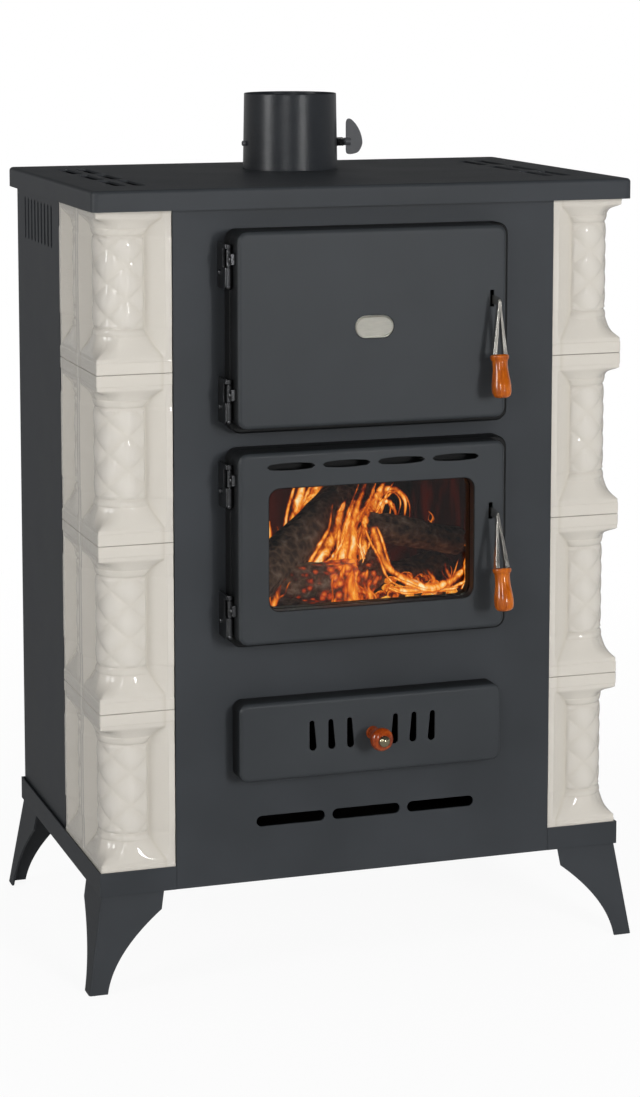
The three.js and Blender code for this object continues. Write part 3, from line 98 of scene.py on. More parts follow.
class Shader(Graph):
    """One procedural material: a Principled surface and the nodes that feed it."""

    def __init__(self, name, **surface):
        self.material = bpy.data.materials.new(name)
        self.material.use_nodes = True
        super().__init__(self.material.node_tree)
        self.surface = self.tree.nodes["Principled BSDF"]
        for socket, value in surface.items():
            self.surface.inputs[socket.replace("_", " ")].default_value = value

    def feed(self, **sockets):
        """Links outputs to the surface's sockets and gives back the material."""
        for socket, output in sockets.items():
            self.link(output, self.surface.inputs[socket.replace("_", " ")])
        return self.material

    def place(self, stretch=(1, 1, 1)):
        """Object coordinates, stretched."""
        plain = self.node("ShaderNodeTexCoord").outputs["Object"]
        return self.node("ShaderNodeMapping", {"Vector": plain, "Scale": stretch}).outputs["Vector"]

    def noise(self, scale, detail=4, rough=0.55, stretch=(1, 1, 1), distortion=0.0):
        inputs = {"Scale": scale, "Detail": detail, "Roughness": rough, "Distortion": distortion,
                  "Vector": self.place(stretch)}
        return self.node("ShaderNodeTexNoise", inputs).outputs["Fac"]

    def cells(self, scale):
        return self.node("ShaderNodeTexVoronoi", {"Scale": scale, "Vector": self.place()}).outputs["Distance"]

    def tone(self):
        """The value that the mesh carries point by point."""
        return self.node("ShaderNodeAttribute", attribute_name="tone").outputs["Fac"]

    def ramp(self, value, stops):
        """A colour for the value, from stops written as "place code, place code"."""
        stops = [stop.split() for stop in stops.split(",")]
        made = self.node("ShaderNodeValToRGB", {"Fac": value})
        elements = made.color_ramp.elements
        while len(elements) < len(stops):
            elements.new(0.5)
        for element, (place, code) in zip(elements, stops):
            element.position = float(place)
            element.color = linear(code)
        return made.outputs["Color"]

    def sums(self, *terms):
        """The sum of the values, each times its weight."""
        total = 0.0
        for value, weight in terms:
            total = self.calc("MULTIPLY_ADD", value, weight, total)
        return total

    def bump(self, height, depth):
        """A surface raised by depth metres where the height is one."""
        return self.node("ShaderNodeBump", {"Height": height, "Distance": depth}).outputs["Normal"]


def painted_steel(name, dark, light, low, high, painted_shade=False):
    """Satin stove enamel: an even colour, a faint cloud in its sheen and a fine orange peel.

    When asked to, it turns nearly black where the mesh's tone falls to zero: painted shade on a door's skirt,
    on the outer part of its rolled edge and on the walls of its holes.
    """
    made = Shader(name, Specular_IOR_Level=0.42)
    cloud = made.noise(6, detail=3)
    peel = made.noise(900, detail=2)
    grit = made.noise(2600, detail=1)
    mixed = made.sums((cloud, 0.8), (grit, 0.2))
    stops = f"0.3 {dark}, 0.7 {light}"
    if painted_shade:
        mixed = made.sums((mixed, 0.5), (made.tone(), 0.5))
        # the near black 08090a is painted shade for the skirt, the outer edge and the hole walls
        stops = f"0.2 08090a, 0.62 {dark}, 0.88 {light}"
    return made.feed(Base_Color=made.ramp(mixed, stops),
                     Roughness=made.span(made.sums((cloud, 0.6), (grit, 0.4)), low, high),
                     Normal=made.bump(made.sums((peel, 0.7), (grit, 0.3)), 0.00012))


def glazed_tile():
    """Glossy cream glaze that pools a little darker in the creases of the relief."""
    made = Shader("glazed_tile", Coat_Weight=0.55, Coat_Roughness=0.04, Coat_IOR=1.5, Specular_IOR_Level=0.5)
    cloud = made.noise(14, detail=5)
    speck = made.noise(420, detail=3)
    wave = made.noise(48, detail=3)
    mixed = made.sums((made.tone(), 0.62), (cloud, 0.3), (speck, 0.08))
    return made.feed(Base_Color=made.ramp(mixed, "0.1 a09582, 0.42 c5bfb4, 0.85 cfcac2"),
                     Roughness=made.span(cloud, 0.1, 0.2),
                     Normal=made.bump(made.sums((wave, 0.85), (speck, 0.15)), 0.0006))


def varnished_wood(name, stops):
    """Stained turned beech: long grain lines under a thick clear varnish."""
    made = Shader(name, Coat_Weight=1.0, Coat_Roughness=0.06, Specular_IOR_Level=0.2)
    grain = made.noise(190, detail=6, rough=0.65, stretch=(1, 1, 0.08), distortion=0.6)
    broad = made.noise(40, detail=3, stretch=(1, 1, 0.2), distortion=1.2)
    pores = made.noise(900, detail=3, stretch=(1, 1, 0.06))
    return made.feed(Base_Color=made.ramp(made.sums((grain, 0.5), (broad, 0.35), (pores, 0.15)), stops),
                     Roughness=made.span(grain, 0.24, 0.4),
                     Normal=made.bump(made.sums((grain, 0.6), (pores, 0.4)), 0.0001))


def bare_metal(name, dark, light, low, high, stretch=(1, 1, 1)):
    """Polished or plated metal with a fine drawn texture."""
    made = Shader(name, Metallic=1.0)
    drawn = made.noise(700, stretch=stretch)
    cloud = made.noise(30, detail=3)
    return made.feed(Base_Color=made.ramp(made.sums((drawn, 0.5), (cloud, 0.5)), f"0.3 {dark}, 0.7 {light}"),
                     Roughness=made.span(made.sums((drawn, 0.6), (cloud, 0.4)), low, high),
                     Normal=made.bump(drawn, 0.00004))


def rough_stuff(name, stops, scale, depth, low=0.75, high=0.95):
    """Soot, cast iron, rope or ash: a mottled colour and a gritty surface."""
    made = Shader(name)
    broad = made.noise(scale, detail=8, rough=0.65)
    grit = made.noise(900)
    return made.feed(Base_Color=made.ramp(made.sums((broad, 0.6), (grit, 0.4)), stops),
                     Roughness=made.span(grit, low, high),
                     Normal=made.bump(made.sums((broad, 0.5), (grit, 0.5)), depth))


def sheen_metal(name, dark, light, low, high):
    """Smooth dull metal plate, finely brushed along its length."""
    made = Shader(name, Metallic=1.0)
    cloud = made.noise(700, detail=3, stretch=(0.12, 1, 1))
    return made.feed(Base_Color=made.ramp(cloud, f"0.3 {dark}, 0.7 {light}"),
                     Roughness=made.span(cloud, low, high))


def burning_wood():
    """Charred bark; where the wood is hot it glows from the cracks between its scales."""
    made = Shader("charred_wood", Specular_IOR_Level=0.25, Emission_Strength=1.0)
    bark = made.noise(60, detail=8, rough=0.7, distortion=0.4)
    scales = made.cells(95)
    grit = made.noise(500)
    mixed = made.sums((bark, 0.6), (scales, 0.35), (grit, 0.25))
    glow = made.sums((made.tone(), 0.75), (bark, 0.45), (scales, -0.55))
    return made.feed(Base_Color=made.ramp(mixed, "0.36 160e0a, 0.52 402d22, 0.66 6e5443, 0.82 9c8473"),
                     Emission_Color=made.ramp(glow, "0.34 000000, 0.42 3a0a02, 0.55 b8380a, 0.75 ff9a32"),
                     Roughness=made.span(grit, 0.7, 0.95),
                     Normal=made.bump(made.sums((bark, 0.7), (scales, 0.4), (grit, 0.2)), 0.003))


def glowing(name, scale, strength, stops, clear=None):
    """Something that glows: flames and embers by their heat, the firebricks with painted firelight. Its
    colour follows its tone and a flickering noise; clear fades its thin edges.
    """
    made = Shader(name, Roughness=0.9, Specular_IOR_Level=0.0, Emission_Strength=strength)
    broad = made.noise(scale, rough=0.6, stretch=(1, 1, 0.4), distortion=1.2)
    streaks = made.noise(4 * scale, detail=2, stretch=(1, 1, 0.14), distortion=0.6)
    flicker = made.span(made.sums((broad, 0.78), (streaks, 0.22)), 0, 1)
    mixed = made.sums((made.tone(), 0.56), (flicker, 0.56))
    if clear:
        made.feed(Alpha=made.span(mixed, 0.0, 1.0, *clear))
    return made.feed(Base_Color=made.ramp(flicker, "0.3 0c0705, 0.7 1c0f0a"),
                     Emission_Color=made.ramp(mixed, stops))


def clear_glass():
    made = Shader("clear_glass", Transmission_Weight=1.0, IOR=1.45)
    wave = made.noise(12, detail=2)
    return made.feed(Base_Color=made.ramp(wave, "0.3 eef0ef, 0.7 f8f8f6"),
                     Roughness=made.span(wave, 0.0, 0.02),
                     Normal=made.bump(wave, 0.0002))


MATERIALS = {
    "paint": painted_steel("anthracite_paint", "2b2e31", "34373b", 0.42, 0.56),
    # paint for the doors and the drawer, darkened by painted shade on their skirts, edges and hole walls
    "door": painted_steel("door_paint_with_painted_shade", "2a2d30", "333639", 0.4, 0.52, painted_shade=True),
    # black paint for screws, the spring and the fire door's liner; on the door surrounds it is painted shade
    "black": painted_steel("black_paint_and_painted_shade", "08090a", "101112", 0.42, 0.6),
    "flue": painted_steel("flue_enamel", "1c1e21", "282b2f", 0.24, 0.32),
    "grey": painted_steel("grey_zinc", "47484b", "57585b", 0.34, 0.46),
    "enamel": painted_steel("oven_enamel", "15171b", "22262c", 0.14, 0.22),
    "glaze": glazed_tile(),
    "wood": varnished_wood("varnished_wood", "0.3 5e2401, 0.48 964602, 0.62 b86004, 0.78 d6881a"),
    "red_wood": varnished_wood("red_wood", "0.3 481502, 0.48 803005, 0.62 a84c0c, 0.78 c87222"),
    "chrome": bare_metal("bright_chrome", "b4b1ab", "e6e2da", 0.12, 0.24, (1, 1, 0.1)),
    "steel": bare_metal("hinge_steel", "4c4d4f", "77787a", 0.28, 0.42),
    "brass": bare_metal("brass", "c2b48c", "e6dfc6", 0.14, 0.24),
    "plate": sheen_metal("dull_plate", "b0aea5", "bab8ae", 0.28, 0.32),
    "soot": rough_stuff("sooty_steel", "0.35 0d0c0b, 0.6 1d1a18, 0.8 2c2622", 18, 0.0005),
    "cast": rough_stuff("cast_iron", "0.3 141312, 0.55 262423, 0.8 3a3532", 60, 0.0008, 0.55, 0.8),
    "rope": rough_stuff("seal_rope", "0.3 3c3a37, 0.6 6d6963, 0.8 8b867d", 240, 0.0014),
    "charcoal": rough_stuff("ash_and_charcoal", "0.3 0a0605, 0.55 1c100b, 0.8 3b2418", 90, 0.002),
    "glass": clear_glass(),
    "charred": burning_wood(),
    # the firebricks' dim red glow is painted firelight, the fire's light shown as their own emission
    "hot_brick": glowing("firebrick_painted_firelight", 14, 1.0, "0.12 000000, 0.3 120302, 0.5 3c0a03"),
    "ember": glowing("ember", 90, 1.0, "0.3 0a0201, 0.46 5a0f02, 0.62 e0600c, 0.78 ffb23a, 0.95 ffe9a0"),
    "flame": glowing("flame", 44, 1.1, "0.27 2a0200, 0.44 962204, 0.58 e0640e, 0.74 ffa63a, 0.92 ffedb8",
                     clear=(0.32, 0.7)),
}


# ---------------------------------------------------------------- mesh helpers

def quarter(steps):
    """Even angles over a quarter turn, both ends included."""
    return [math.pi / 2 * k / steps for k in range(steps + 1)]


def circle(sides):
    """The cosine and sine of each of a full turn's even angles."""
    return [(math.cos(2 * math.pi * k / sides), math.sin(2 * math.pi * k / sides)) for k in range(sides)]


def rolled(radius, steps, start=0.0):
    """A quarter bend from (start, start + radius) to (start + radius, start)."""
    return [(start + radius * (1 - math.cos(a)), start + radius * (1 - math.sin(a))) for a in quarter(steps)]


class Skin:
    """The points and faces of one mesh, in millimetres of the stove."""

    def __init__(self):
        self.points = []
        self.faces = []
        self.tone = {}

    def ring(self, points, tones=()):
        start = len(self.points)
        self.points.extend(Vector(point) for point in points)
        made = list(range(start, len(self.points)))
        self.tone.update(zip(made, tones))
        return made

    def bridge(self, first, second, closed=True):
        count = len(first)
        for i in range(count if closed else count - 1):
            j = (i + 1) % count
            self.faces.append((first[i], first[j], second[j], second[i]))

    def join(self, rings, closed=True):
        for first, second in zip(rings, rings[1:]):
            self.bridge(first, second, closed)
        return rings

    def loft(self, rings):
        """Rings of equally many points, joined one to the next."""
        return self.join([self.ring(points) for points in rings])

    def fill(self, *loops):
        """A flat face with an outline and holes."""
        order = [index for loop in loops for index in loop]
        outline = [[self.points[index] for index in loop] for loop in loops]
        for triangle in tessellate_polygon(outline):
            self.faces.append(tuple(order[corner] for corner in triangle))

    def solid(self, rings):
        """Rings joined one to the next, the first and the last one filled."""
        made = self.loft(rings)
        self.fill(made[0])
        self.fill(made[-1])
        return made

    def prism(self, outline, place, start, end):
        """A flat outline of (u, v) carried from depth start to depth end."""
        self.solid([[place(u, v, w) for u, v in outline] for w in (start, end)])
        return self

    def box(self, x, y, z):
        corners = [(x[0], y[0]), (x[1], y[0]), (x[1], y[1]), (x[0], y[1])]
        self.prism(corners, lambda u, v, w: (u, v, w), *z)

    def lathe(self, profile, place, sides=48):
        """A turned form: (radius, height) pairs round the local height axis."""
        turns = circle(sides)
        self.loft([[place(radius * c, radius * s, height) for c, s in turns] for radius, height in profile])
        return self

    def tube(self, path, radius, sides):
        """A round bar along points, closed at both ends."""
        rings = []
        path = [Vector(point) for point in path]
        side = None
        for i, point in enumerate(path):
            along = (path[min(i + 1, len(path) - 1)] - path[max(i - 1, 0)]).normalized()
            if side is None:
                side = along.orthogonal()
            side = (side - along * side.dot(along)).normalized()
            other = along.cross(side)
            rings.append([point + (side * c + other * s) * radius for c, s in circle(sides)])
        self.solid(rings)
        return self


def mesh_of(name, skin, angle=35):
    """A Blender mesh with its faces turned outwards and its hard edges kept."""
    mesh = bpy.data.meshes.new(name)
    mesh.from_pydata([STOVE @ point for point in skin.points], [], skin.faces)
    if skin.tone:
        layer = mesh.attributes.new("tone", "FLOAT", "POINT")
        for index, value in skin.tone.items():
            layer.data[index].value = value
    work = bmesh.new()
    work.from_mesh(mesh)
    bmesh.ops.remove_doubles(work, verts=work.verts, dist=1e-6)
    bmesh.ops.dissolve_degenerate(work, edges=work.edges, dist=1e-7)
    bmesh.ops.recalc_face_normals(work, faces=work.faces)
    work.to_mesh(mesh)
    work.free()
    mesh.shade_smooth()
    mesh.set_sharp_from_angle(angle=math.radians(angle))
    return mesh


def soften(item, width, segments=2):
    """Small rounded edges wherever two faces meet at a corner, and normals that keep the flats flat."""
    if width:
        bevel = item.modifiers.new("edges", "BEVEL")
        bevel.width = width
        bevel.segments = segments
        bevel.limit_method = "ANGLE"
        bevel.angle_limit = math.radians(40)
        bevel.use_clamp_overlap = True
    item.modifiers.new("normals", "WEIGHTED_NORMAL").keep_sharp = True


def show(item, body, nodes, bevel=0.0):
    bpy.context.scene.collection.objects.link(item)
    soften(item, bevel)
    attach(item, body)
    if nodes:
        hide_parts(*nodes)


def piece(name, skin, material, body, nodes=(), angle=35, bevel=0.0):
    mesh = mesh_of(name, skin, angle)
    mesh.materials.append(MATERIALS[material])
    show(bpy.data.objects.new(name, mesh), body, nodes, bevel)


def facing(front):
    """Places outlines drawn as (X, Z), at depths along Y behind a front."""
    return lambda u, v, w: (u, front + w, v)


def sideways(u, v, w):
    """Places outlines drawn as (Y, Z), at depths along X."""
    return (w, u, v)


def rounded(left, right, bottom, top, radius, steps=8):
    points = []
    for x, y, start in ((right - radius, bottom + radius, -90), (right - radius, top - radius, 0),
                        (left + radius, top - radius, 90), (left + radius, bottom + radius, 180)):
        for k in range(steps + 1):
            turn = math.radians(start + 90 * k / steps)
            points.append((x + radius * math.cos(turn), y + radius * math.sin(turn)))
    return points


def slot(start, end, radius, end_radius=None, steps=10):
    """A slot with two round ends, which may differ in radius."""
    heading = math.atan2(end[1] - start[1], end[0] - start[0])
    points = []
    for (x, y), size, swing in ((start, radius, 90), (end, end_radius or radius, -90)):
        for k in range(steps + 1):
            turn = heading + math.radians(swing + 180 * k / steps)
            points.append((x + size * math.cos(turn), y + size * math.sin(turn)))
    return points


def grown(points, offset):
    """The outline moved outwards by offset along its own normals."""
    count = len(points)
    moved = []
    for i, (x, y) in enumerate(points):
        before, after = points[i - 1], points[(i + 1) % count]
        dx, dy = after[0] - before[0], after[1] - before[1]
        size = math.hypot(dx, dy)
        moved.append((x + dy / size * offset, y - dx / size * offset))
    return moved


def smooth(t):
    t = min(1.0, max(0.0, t))
    return t * t * (3 - 2 * t)


def between(table, x):
    """The value at x in a table of (x, value) rows, on straight lines between them."""
    for (x0, y0), (x1, y1) in zip(table, table[1:]):
        if x <= x1:
            return y0 + (y1 - y0) * (x - x0) / (x1 - x0)
    return table[-1][1]


def flowing(points, steps):
    """A smooth line through points."""
    found = []
    rows = [Vector(p) for p in points]
    for i in range(len(rows) - 1):
        a, b, c, d = rows[max(i - 1, 0)], rows[i], rows[i + 1], rows[min(i + 2, len(rows) - 1)]
        for k in range(steps):
            t = k / steps
            found.append(0.5 * ((2 * b) + (c - a) * t + (2 * a - 5 * b + 4 * c - d) * t * t
                                + (3 * b - a - 3 * c + d) * t ** 3))
    return found + [rows[-1]]


def pressed(place, outline, depth, sheet, edge, holes, steps=10):
    """A pressed sheet: its skirt, its rolled edge, a flat face with holes, and the same from inside.

    outline(inset) gives the plan at an inset from its widest. Each hole is (points, depth, wall, lip).
    The tone is full on the flat face, fades round the edge and is nothing on the skirt and in the holes; the
    door paint turns low tone into painted shade.
    """
    skin = Skin()

    def ring(points, w, tone=0.0):
        return skin.ring([place(u, v, w) for u, v in points], [tone] * len(points))

    outer = [ring(outline(0.0), depth)]
    if depth > sheet:
        outer.append(ring(outline(0.0), (depth + edge) / 2))
    # the tone rises round the roll, so the outer part of the edge gets painted shade
    outer += [ring(outline(inset), w, smooth(0.45 + 1.6 * k / steps))
              for k, (inset, w) in enumerate(rolled(edge, steps))]
    inner = outer[:1]
    if depth > sheet:
        bends = [(sheet, depth)] + rolled(edge - sheet, steps, sheet)
        inner = [ring(outline(inset), w) for inset, w in bends]
        skin.bridge(outer[0], inner[0])
    skin.join(outer)
    skin.join(inner)
    face, back = [outer[-1]], [inner[-1]]
    for points, reach, wall, lip in holes:
        path = [(b, a) for a, b in rolled(lip, 4)] + [(0.0, reach)]
        if wall:
            path += [(wall, reach), (wall, sheet)]
        # hole walls keep no tone, so slots, the window's reveal and the oval recess get painted shade
        made = skin.join([ring(grown(points, offset), w, 0.0 if k else 1.0)
                          for k, (offset, w) in enumerate(path)])
        face.append(made[0])
        back.append(made[-1])
    skin.fill(*face)
    skin.fill(*back)
    return skin


# ---------------------------------------------------------------- tiles

TILE = dict(width=100.0, height=220.0, joint=0.4, rim=9.0, back=26.0, radius=35.5, inset=9.4, half=83.0,
            side_share=0.42, edge=1.1, corner=2.4)
TILE_X, TILE_FACE, TILE_BOTTOM = 362.7, 2.3, 20.3
BRAID = dict(height=2.6, period=83.0, pitch=43.5, middle=116.0, parts=14)
FOOT = ((0, 1), (20, 1), (24, 0.9), (28, 0.77), (33, 0.6), (38, 0.45), (43, 0.31), (47, 0.2), (51.5, 0.1),
        (57, 0))
HEAD = ((0, 1), (20, 1), (22, 0.93), (25, 0.74), (28, 0.57), (31, 0.42), (35, 0.26), (39.5, 0.11), (45, 0))
FOOT_RING, HEAD_RING = (47.0, 56.0), (35.0, 44.0)
SHAFT = (FOOT[-1][0], TILE["height"] - HEAD[-1][0])


def braid(angle, z):
    """How high the plaited strands stand, from 0 in their creases to 1 on their crests."""
    along = angle / math.radians(BRAID["period"])
    up = (z - BRAID["middle"]) / BRAID["pitch"]
    place = [along + up, along - up]
    crease = 0.25
    if any(abs(value - round(value)) < 1e-4 for value in place):
        return crease
    cell = [math.floor(value) for value in place]
    across, other = (2 * (value - low) - 1 for value, low in zip(place, cell))
    if (cell[0] + cell[1]) % 2 == 0:
        across, other = other, across
    return crease + (1 - crease) * math.sqrt(1 - across ** 2) * math.cos(math.pi / 2 * other)


def tile_rows():
    """The heights of a tile's rows, each with its squareness, inset, ring and whether it is braided."""
    edge = TILE["edge"]
    ends = [(edge * (1 - math.cos(a)), edge * (1 - math.sin(a))) for a in (0, 0.52, 1.05, math.pi / 2)]
    step = [(4, 0), (9, 0), (14, 0), (14.6, 0.15), (15.2, 0.5), (15.9, 0.7), (18, 0.7), (20, 0.7)]
    rows = []
    for table, (low, high), turned in ((FOOT, FOOT_RING, False), (HEAD, HEAD_RING, True)):
        heights = [20.6 + k * (table[-1][0] - 20.6) / 22 for k in range(23)]
        heights += [low + 0.25, low + 0.9, high - 0.9, high - 0.25]
        for z, inset in ends + step + [(z, 0.7) for z in heights]:
            bead = max(0.0, 1 - ((z - (low + high) / 2) / ((high - low) / 2)) ** 2) ** 0.5
            rows.append((TILE["height"] - z if turned else z, between(table, z), inset, bead, False))
    unit = BRAID["pitch"] / 2 / BRAID["parts"]
    low, high = SHAFT
    count = range(int((low - BRAID["middle"]) / unit) + 1, int((high - BRAID["middle"]) / unit))
    rows += [(BRAID["middle"] + unit * k, 0.0, 0.0, 0.0, True) for k in count]
    return sorted(rows)


def tile_front(corner, share, row):
    """A point of the front at a share from the middle (0) to the crease (1) of the shaft, on its U side."""
    z, square, inset, bead, braided = row
    width, rim = TILE["width"], TILE["rim"]
    centre = TILE["radius"] + TILE["inset"]
    half = math.radians(TILE["half"]) * (1 if corner else TILE["side_share"])
    size = abs(share)
    angle = (math.radians(225) if corner else -math.pi / 2) + half * size
    fade = smooth((1 - size) / 0.07)
    lift = braid(half * share, z) if braided else 0.0
    lift *= smooth((z - SHAFT[0]) / 3) * smooth((SHAFT[1] - z) / 3)
    radius = TILE["radius"] + (1.6 * bead + BRAID["height"] * lift) * fade
    centre_u = centre if corner else width / 2
    shaft = (centre_u + radius * math.cos(angle), centre + radius * math.sin(angle))
    if corner:
        far = (width - rim) * 0.965 * size
        turn = TILE["corner"]
        swing = math.radians(45) * max(0.0, 1 - far / turn)
        block = (turn * (1 - math.sin(swing)) if far < turn else far, turn * (1 - math.cos(swing)))
        block = (block[0] + inset * max(0.0, 1 - far / turn), block[1] + inset)
        square = square ** (1 + 1.5 * max(0.0, 1 - size * 3))
    else:
        block = (width / 2 + (width / 2 - rim) * 0.94 * size, inset)
    point = tuple(a + (b - a) * square for a, b in zip(shaft, block))
    tone = 0.55 + 0.45 * lift if braided else 0.75 - 0.35 * bead * (1 - bead)
    return point, tone * fade + 0.35 * (1 - fade)


def tile_skin(corner):
    """A glazed tile: a square plinth and head that flare into a braided half column between plain coves."""
    skin = Skin()
    width, rim, edge = TILE["width"], TILE["rim"], TILE["edge"]
    unit = 1 / (BRAID["parts"] * 2) / (1.0 if corner else TILE["side_share"])
    shares = [unit * k for k in range(int(1 / unit) + 1) if unit * k < 0.985] + [1.0]
    if corner:
        shares = sorted(shares + [0.004, 0.009, 0.015, 0.022])
    near = len(shares) - 1
    grid = []
    for row in tile_rows():
        z, square, inset = row[:3]
        half = [tile_front(corner, share, row) for share in shares]
        mirrored = [tile_front(corner, -share, row) for share in shares[1:]]
        crease = Vector(half[-1][0])
        step = 0.9 * (1 - square)
        foot = Vector((width - rim - 0.3, step + inset))
        tail = [(crease.lerp(foot, k), 0.35 + 0.4 * smooth(k * 3))
                for k in (0.05, 0.11, 0.2, 0.45, 0.75, 0.95, 1)]
        tail += [((width - rim + 0.1, step * 0.45 + inset), 0.8), ((width - rim + 0.7, inset), 0.85),
                 ((width - edge, inset), 0.8), ((width - edge * 0.3, inset + edge * 0.3), 0.8),
                 ((width, inset + edge), 0.8)]
        chain = [Vector(point) for point, _ in half + tail]
        for _ in range(3):
            chain[near - 1:near + 3] = [(chain[k - 1] + chain[k] * 2 + chain[k + 1]) / 4
                                        for k in range(near - 1, near + 3)]
        other = [Vector(point) for point, _ in mirrored] + chain[near + 1:]
        other[near - 2:near] = chain[near - 1:near + 1]
        line = [(p.x, p.y, z) for p in chain[::-1]]
        line += [(p.y, p.x, z) if corner else (width - p.x, p.y, z) for p in other]
        tones = [tone for _, tone in (half + tail)[::-1] + mirrored + tail]
        grid.append(skin.ring(line, tones))
    skin.join(grid, closed=False)
    back = TILE["back"]
    outline = [(back, width), (back, back), (width, back)] if corner else [(0.0, back), (width, back)]
    low, high = [skin.ring([(u, v, z) for u, v in outline]) for z in (0.0, TILE["height"])]
    skin.bridge(low, high, closed=False)
    skin.fill(grid[0] + low)
    skin.fill(grid[-1] + high)
    skin.faces.append(tuple([line[0] for line in grid] + [high[-1], low[-1]]))
    skin.faces.append(tuple([line[-1] for line in grid] + [high[0], low[0]]))
    return skin


def place_tiles():
    """Sixteen tiles from two meshes, turned and set on their courses."""
    corner = mesh_of("corner_tile", tile_skin(True), 50)
    side = mesh_of("side_tile", tile_skin(False), 50)
    for mesh in (corner, side):
        mesh.transform(STOVE.inverted())
        mesh.materials.append(MATERIALS["glaze"])
    beyond = TILE_FACE + TILE["width"] + TILE["joint"]
    spots = (
        ("corner_tile_left", corner, (-TILE_X, TILE_FACE), 0),
        ("corner_tile_right", corner, (TILE_X, TILE_FACE), 90),
        ("side_tile_left", side, (-TILE_X, beyond + TILE["width"]), -90),
        ("side_tile_right", side, (TILE_X, beyond), 90),
    )
    for name, mesh, (x, y), turn in spots:
        for row in range(4):
            z = TILE_BOTTOM + row * (TILE["height"] + TILE["joint"])
            item = bpy.data.objects.new(f"glazed_{name}_{row + 1}", mesh)
            turned = Matrix.Rotation(math.radians(turn), 4, "Z")
            item.matrix_world = STOVE @ Matrix.Translation((x, y, z)) @ turned
            show(item, "body", [f"{name}_{row + 1}"])


# ---------------------------------------------------------------- pressed sheet metal

DOOR = dict(left=-194.0, right=170.0, front=-62.0, depth=37.4, sheet=3.0, corner=13.0, edge=5.5)
OVEN_DOOR = dict(bottom=612.6, height=252.0, lean=3.0)
FIRE_DOOR = dict(bottom=332.6, height=249.0, lean=14.5)
# the frame is widened to the right and below so that its black rim shows there as painted shade
FRAME = dict(right=17.5, below=10.5, corner=15.0, front=-24.0, depth=23.6, sheet=3.0, rim=14.0)
DRAWER = dict(left=-185.5, right=178.5, middle=-3.5, bottom=144.0, height=104.0, front=-34.3, depth=34.0,
              sheet=2.5, corner=12.0, edge=5.5)
LATCH_X = 150.0
OVAL = dict(left=-23.5, right=-0.5, radius=15.0, depth=1.2)
PANEL = dict(half=262.0, top=913.7, sheet=3.0)
PLATE = dict(top=917.0, skirt=27.0, sheet=3.0, side=5.0, front=13.0, back=10.0, corner=9.0, edge=5.0)
BASE = dict(width=730.0, depth=472.0)
FLUE = dict(y=328.0, bottom=910.0, top=1022.5, inner=64.4, outer=66.4, hole=66.8)
DAMPER_Z = 953.0
LIP = 0.5


def inset_rounded(left, right, bottom, top, corner, least=4.0):
    """The plan of a pressed sheet at any inset; its corners tighten as it narrows."""
    return lambda inset: rounded(left + inset, right - inset, bottom + inset, top - inset,
                                 max(corner - inset, least))


def door_sheet(data, holes):
    bottom = data["bottom"]
    latch = rounded(LATCH_X - 2.5, LATCH_X + 2.5, bottom + 146, bottom + 167.6, 0.6, 3)
    outline = inset_rounded(DOOR["left"], DOOR["right"], bottom, bottom + data["height"], DOOR["corner"])
    return pressed(facing(DOOR["front"]), outline, DOOR["depth"], DOOR["sheet"], DOOR["edge"],
                   [(latch, DOOR["sheet"], 0.0, LIP)] + holes)


def door_frame(data):
    """The fixed frame behind a door and its catch; its black rim, widened past the door's right and lower
    edges, is a dark sheet that paints the shade line along them.
    """
    left, right, bottom, top = DOOR["left"], DOOR["right"], data["bottom"], data["bottom"] + data["height"]
    outline = inset_rounded(left, right + FRAME["right"], bottom - FRAME["below"], top, FRAME["corner"])
    mouth = inset_rounded(left, right, bottom, top, DOOR["corner"])(FRAME["rim"])
    skin = pressed(facing(FRAME["front"]), outline, FRAME["depth"], FRAME["sheet"], FRAME["sheet"],
                   [(mouth, FRAME["sheet"], 0.0, LIP)])
    back, seat = DOOR["front"] + 47, bottom + 162.9
    skin.box((LATCH_X - 6, right - 1.5), (back - 6, back), (seat, seat + 6))
    return skin


def oval(radius, steps):
    """The outline of the oven door's recess, or of the plate in it."""
    middle = OVEN_DOOR["bottom"] + OVEN_DOOR["height"] / 2
    return slot((OVAL["left"], middle), (OVAL["right"], middle), radius, steps=steps)


def oven_door():
    recess = oval(OVAL["radius"], 16)
    skin = door_sheet(OVEN_DOOR, [(recess, OVAL["depth"], 0.0, 0.4)])
    # the recess's floor has no tone, so the door paint darkens it with painted shade
    skin.fill(skin.ring([(u, DOOR["front"] + OVAL["depth"], v) for u, v in recess]))
    return skin


def lens(x, z, half=32.0, thick=4.5, thin=2.5, steps=16):
    """A slot that is thickest in its middle and comes to blunt ends."""
    points = []
    for side in (-1, 1):
        for k in range(steps + 1):
            share = side * (1 - 2 * k / steps)
            bulge = thin + (thick - thin) * (1 - share * share)
            if k in (0, steps):
                bulge *= 0.02
            points.append((x + share * half, z + side * bulge))
    return points


def fire_door():
    bottom = FIRE_DOOR["bottom"]
    window = rounded(-153.5, 126.5, bottom + 43, bottom + 202, 14.0, 10)
    vents = [lens(-12 + (k - 1.5) * 75, bottom + 230.5) for k in range(4)]
    holes = [(window, 14.0, 3.0, 1.6)] + [(vent, DOOR["sheet"], 0.0, LIP) for vent in vents]
    return door_sheet(FIRE_DOOR, holes)


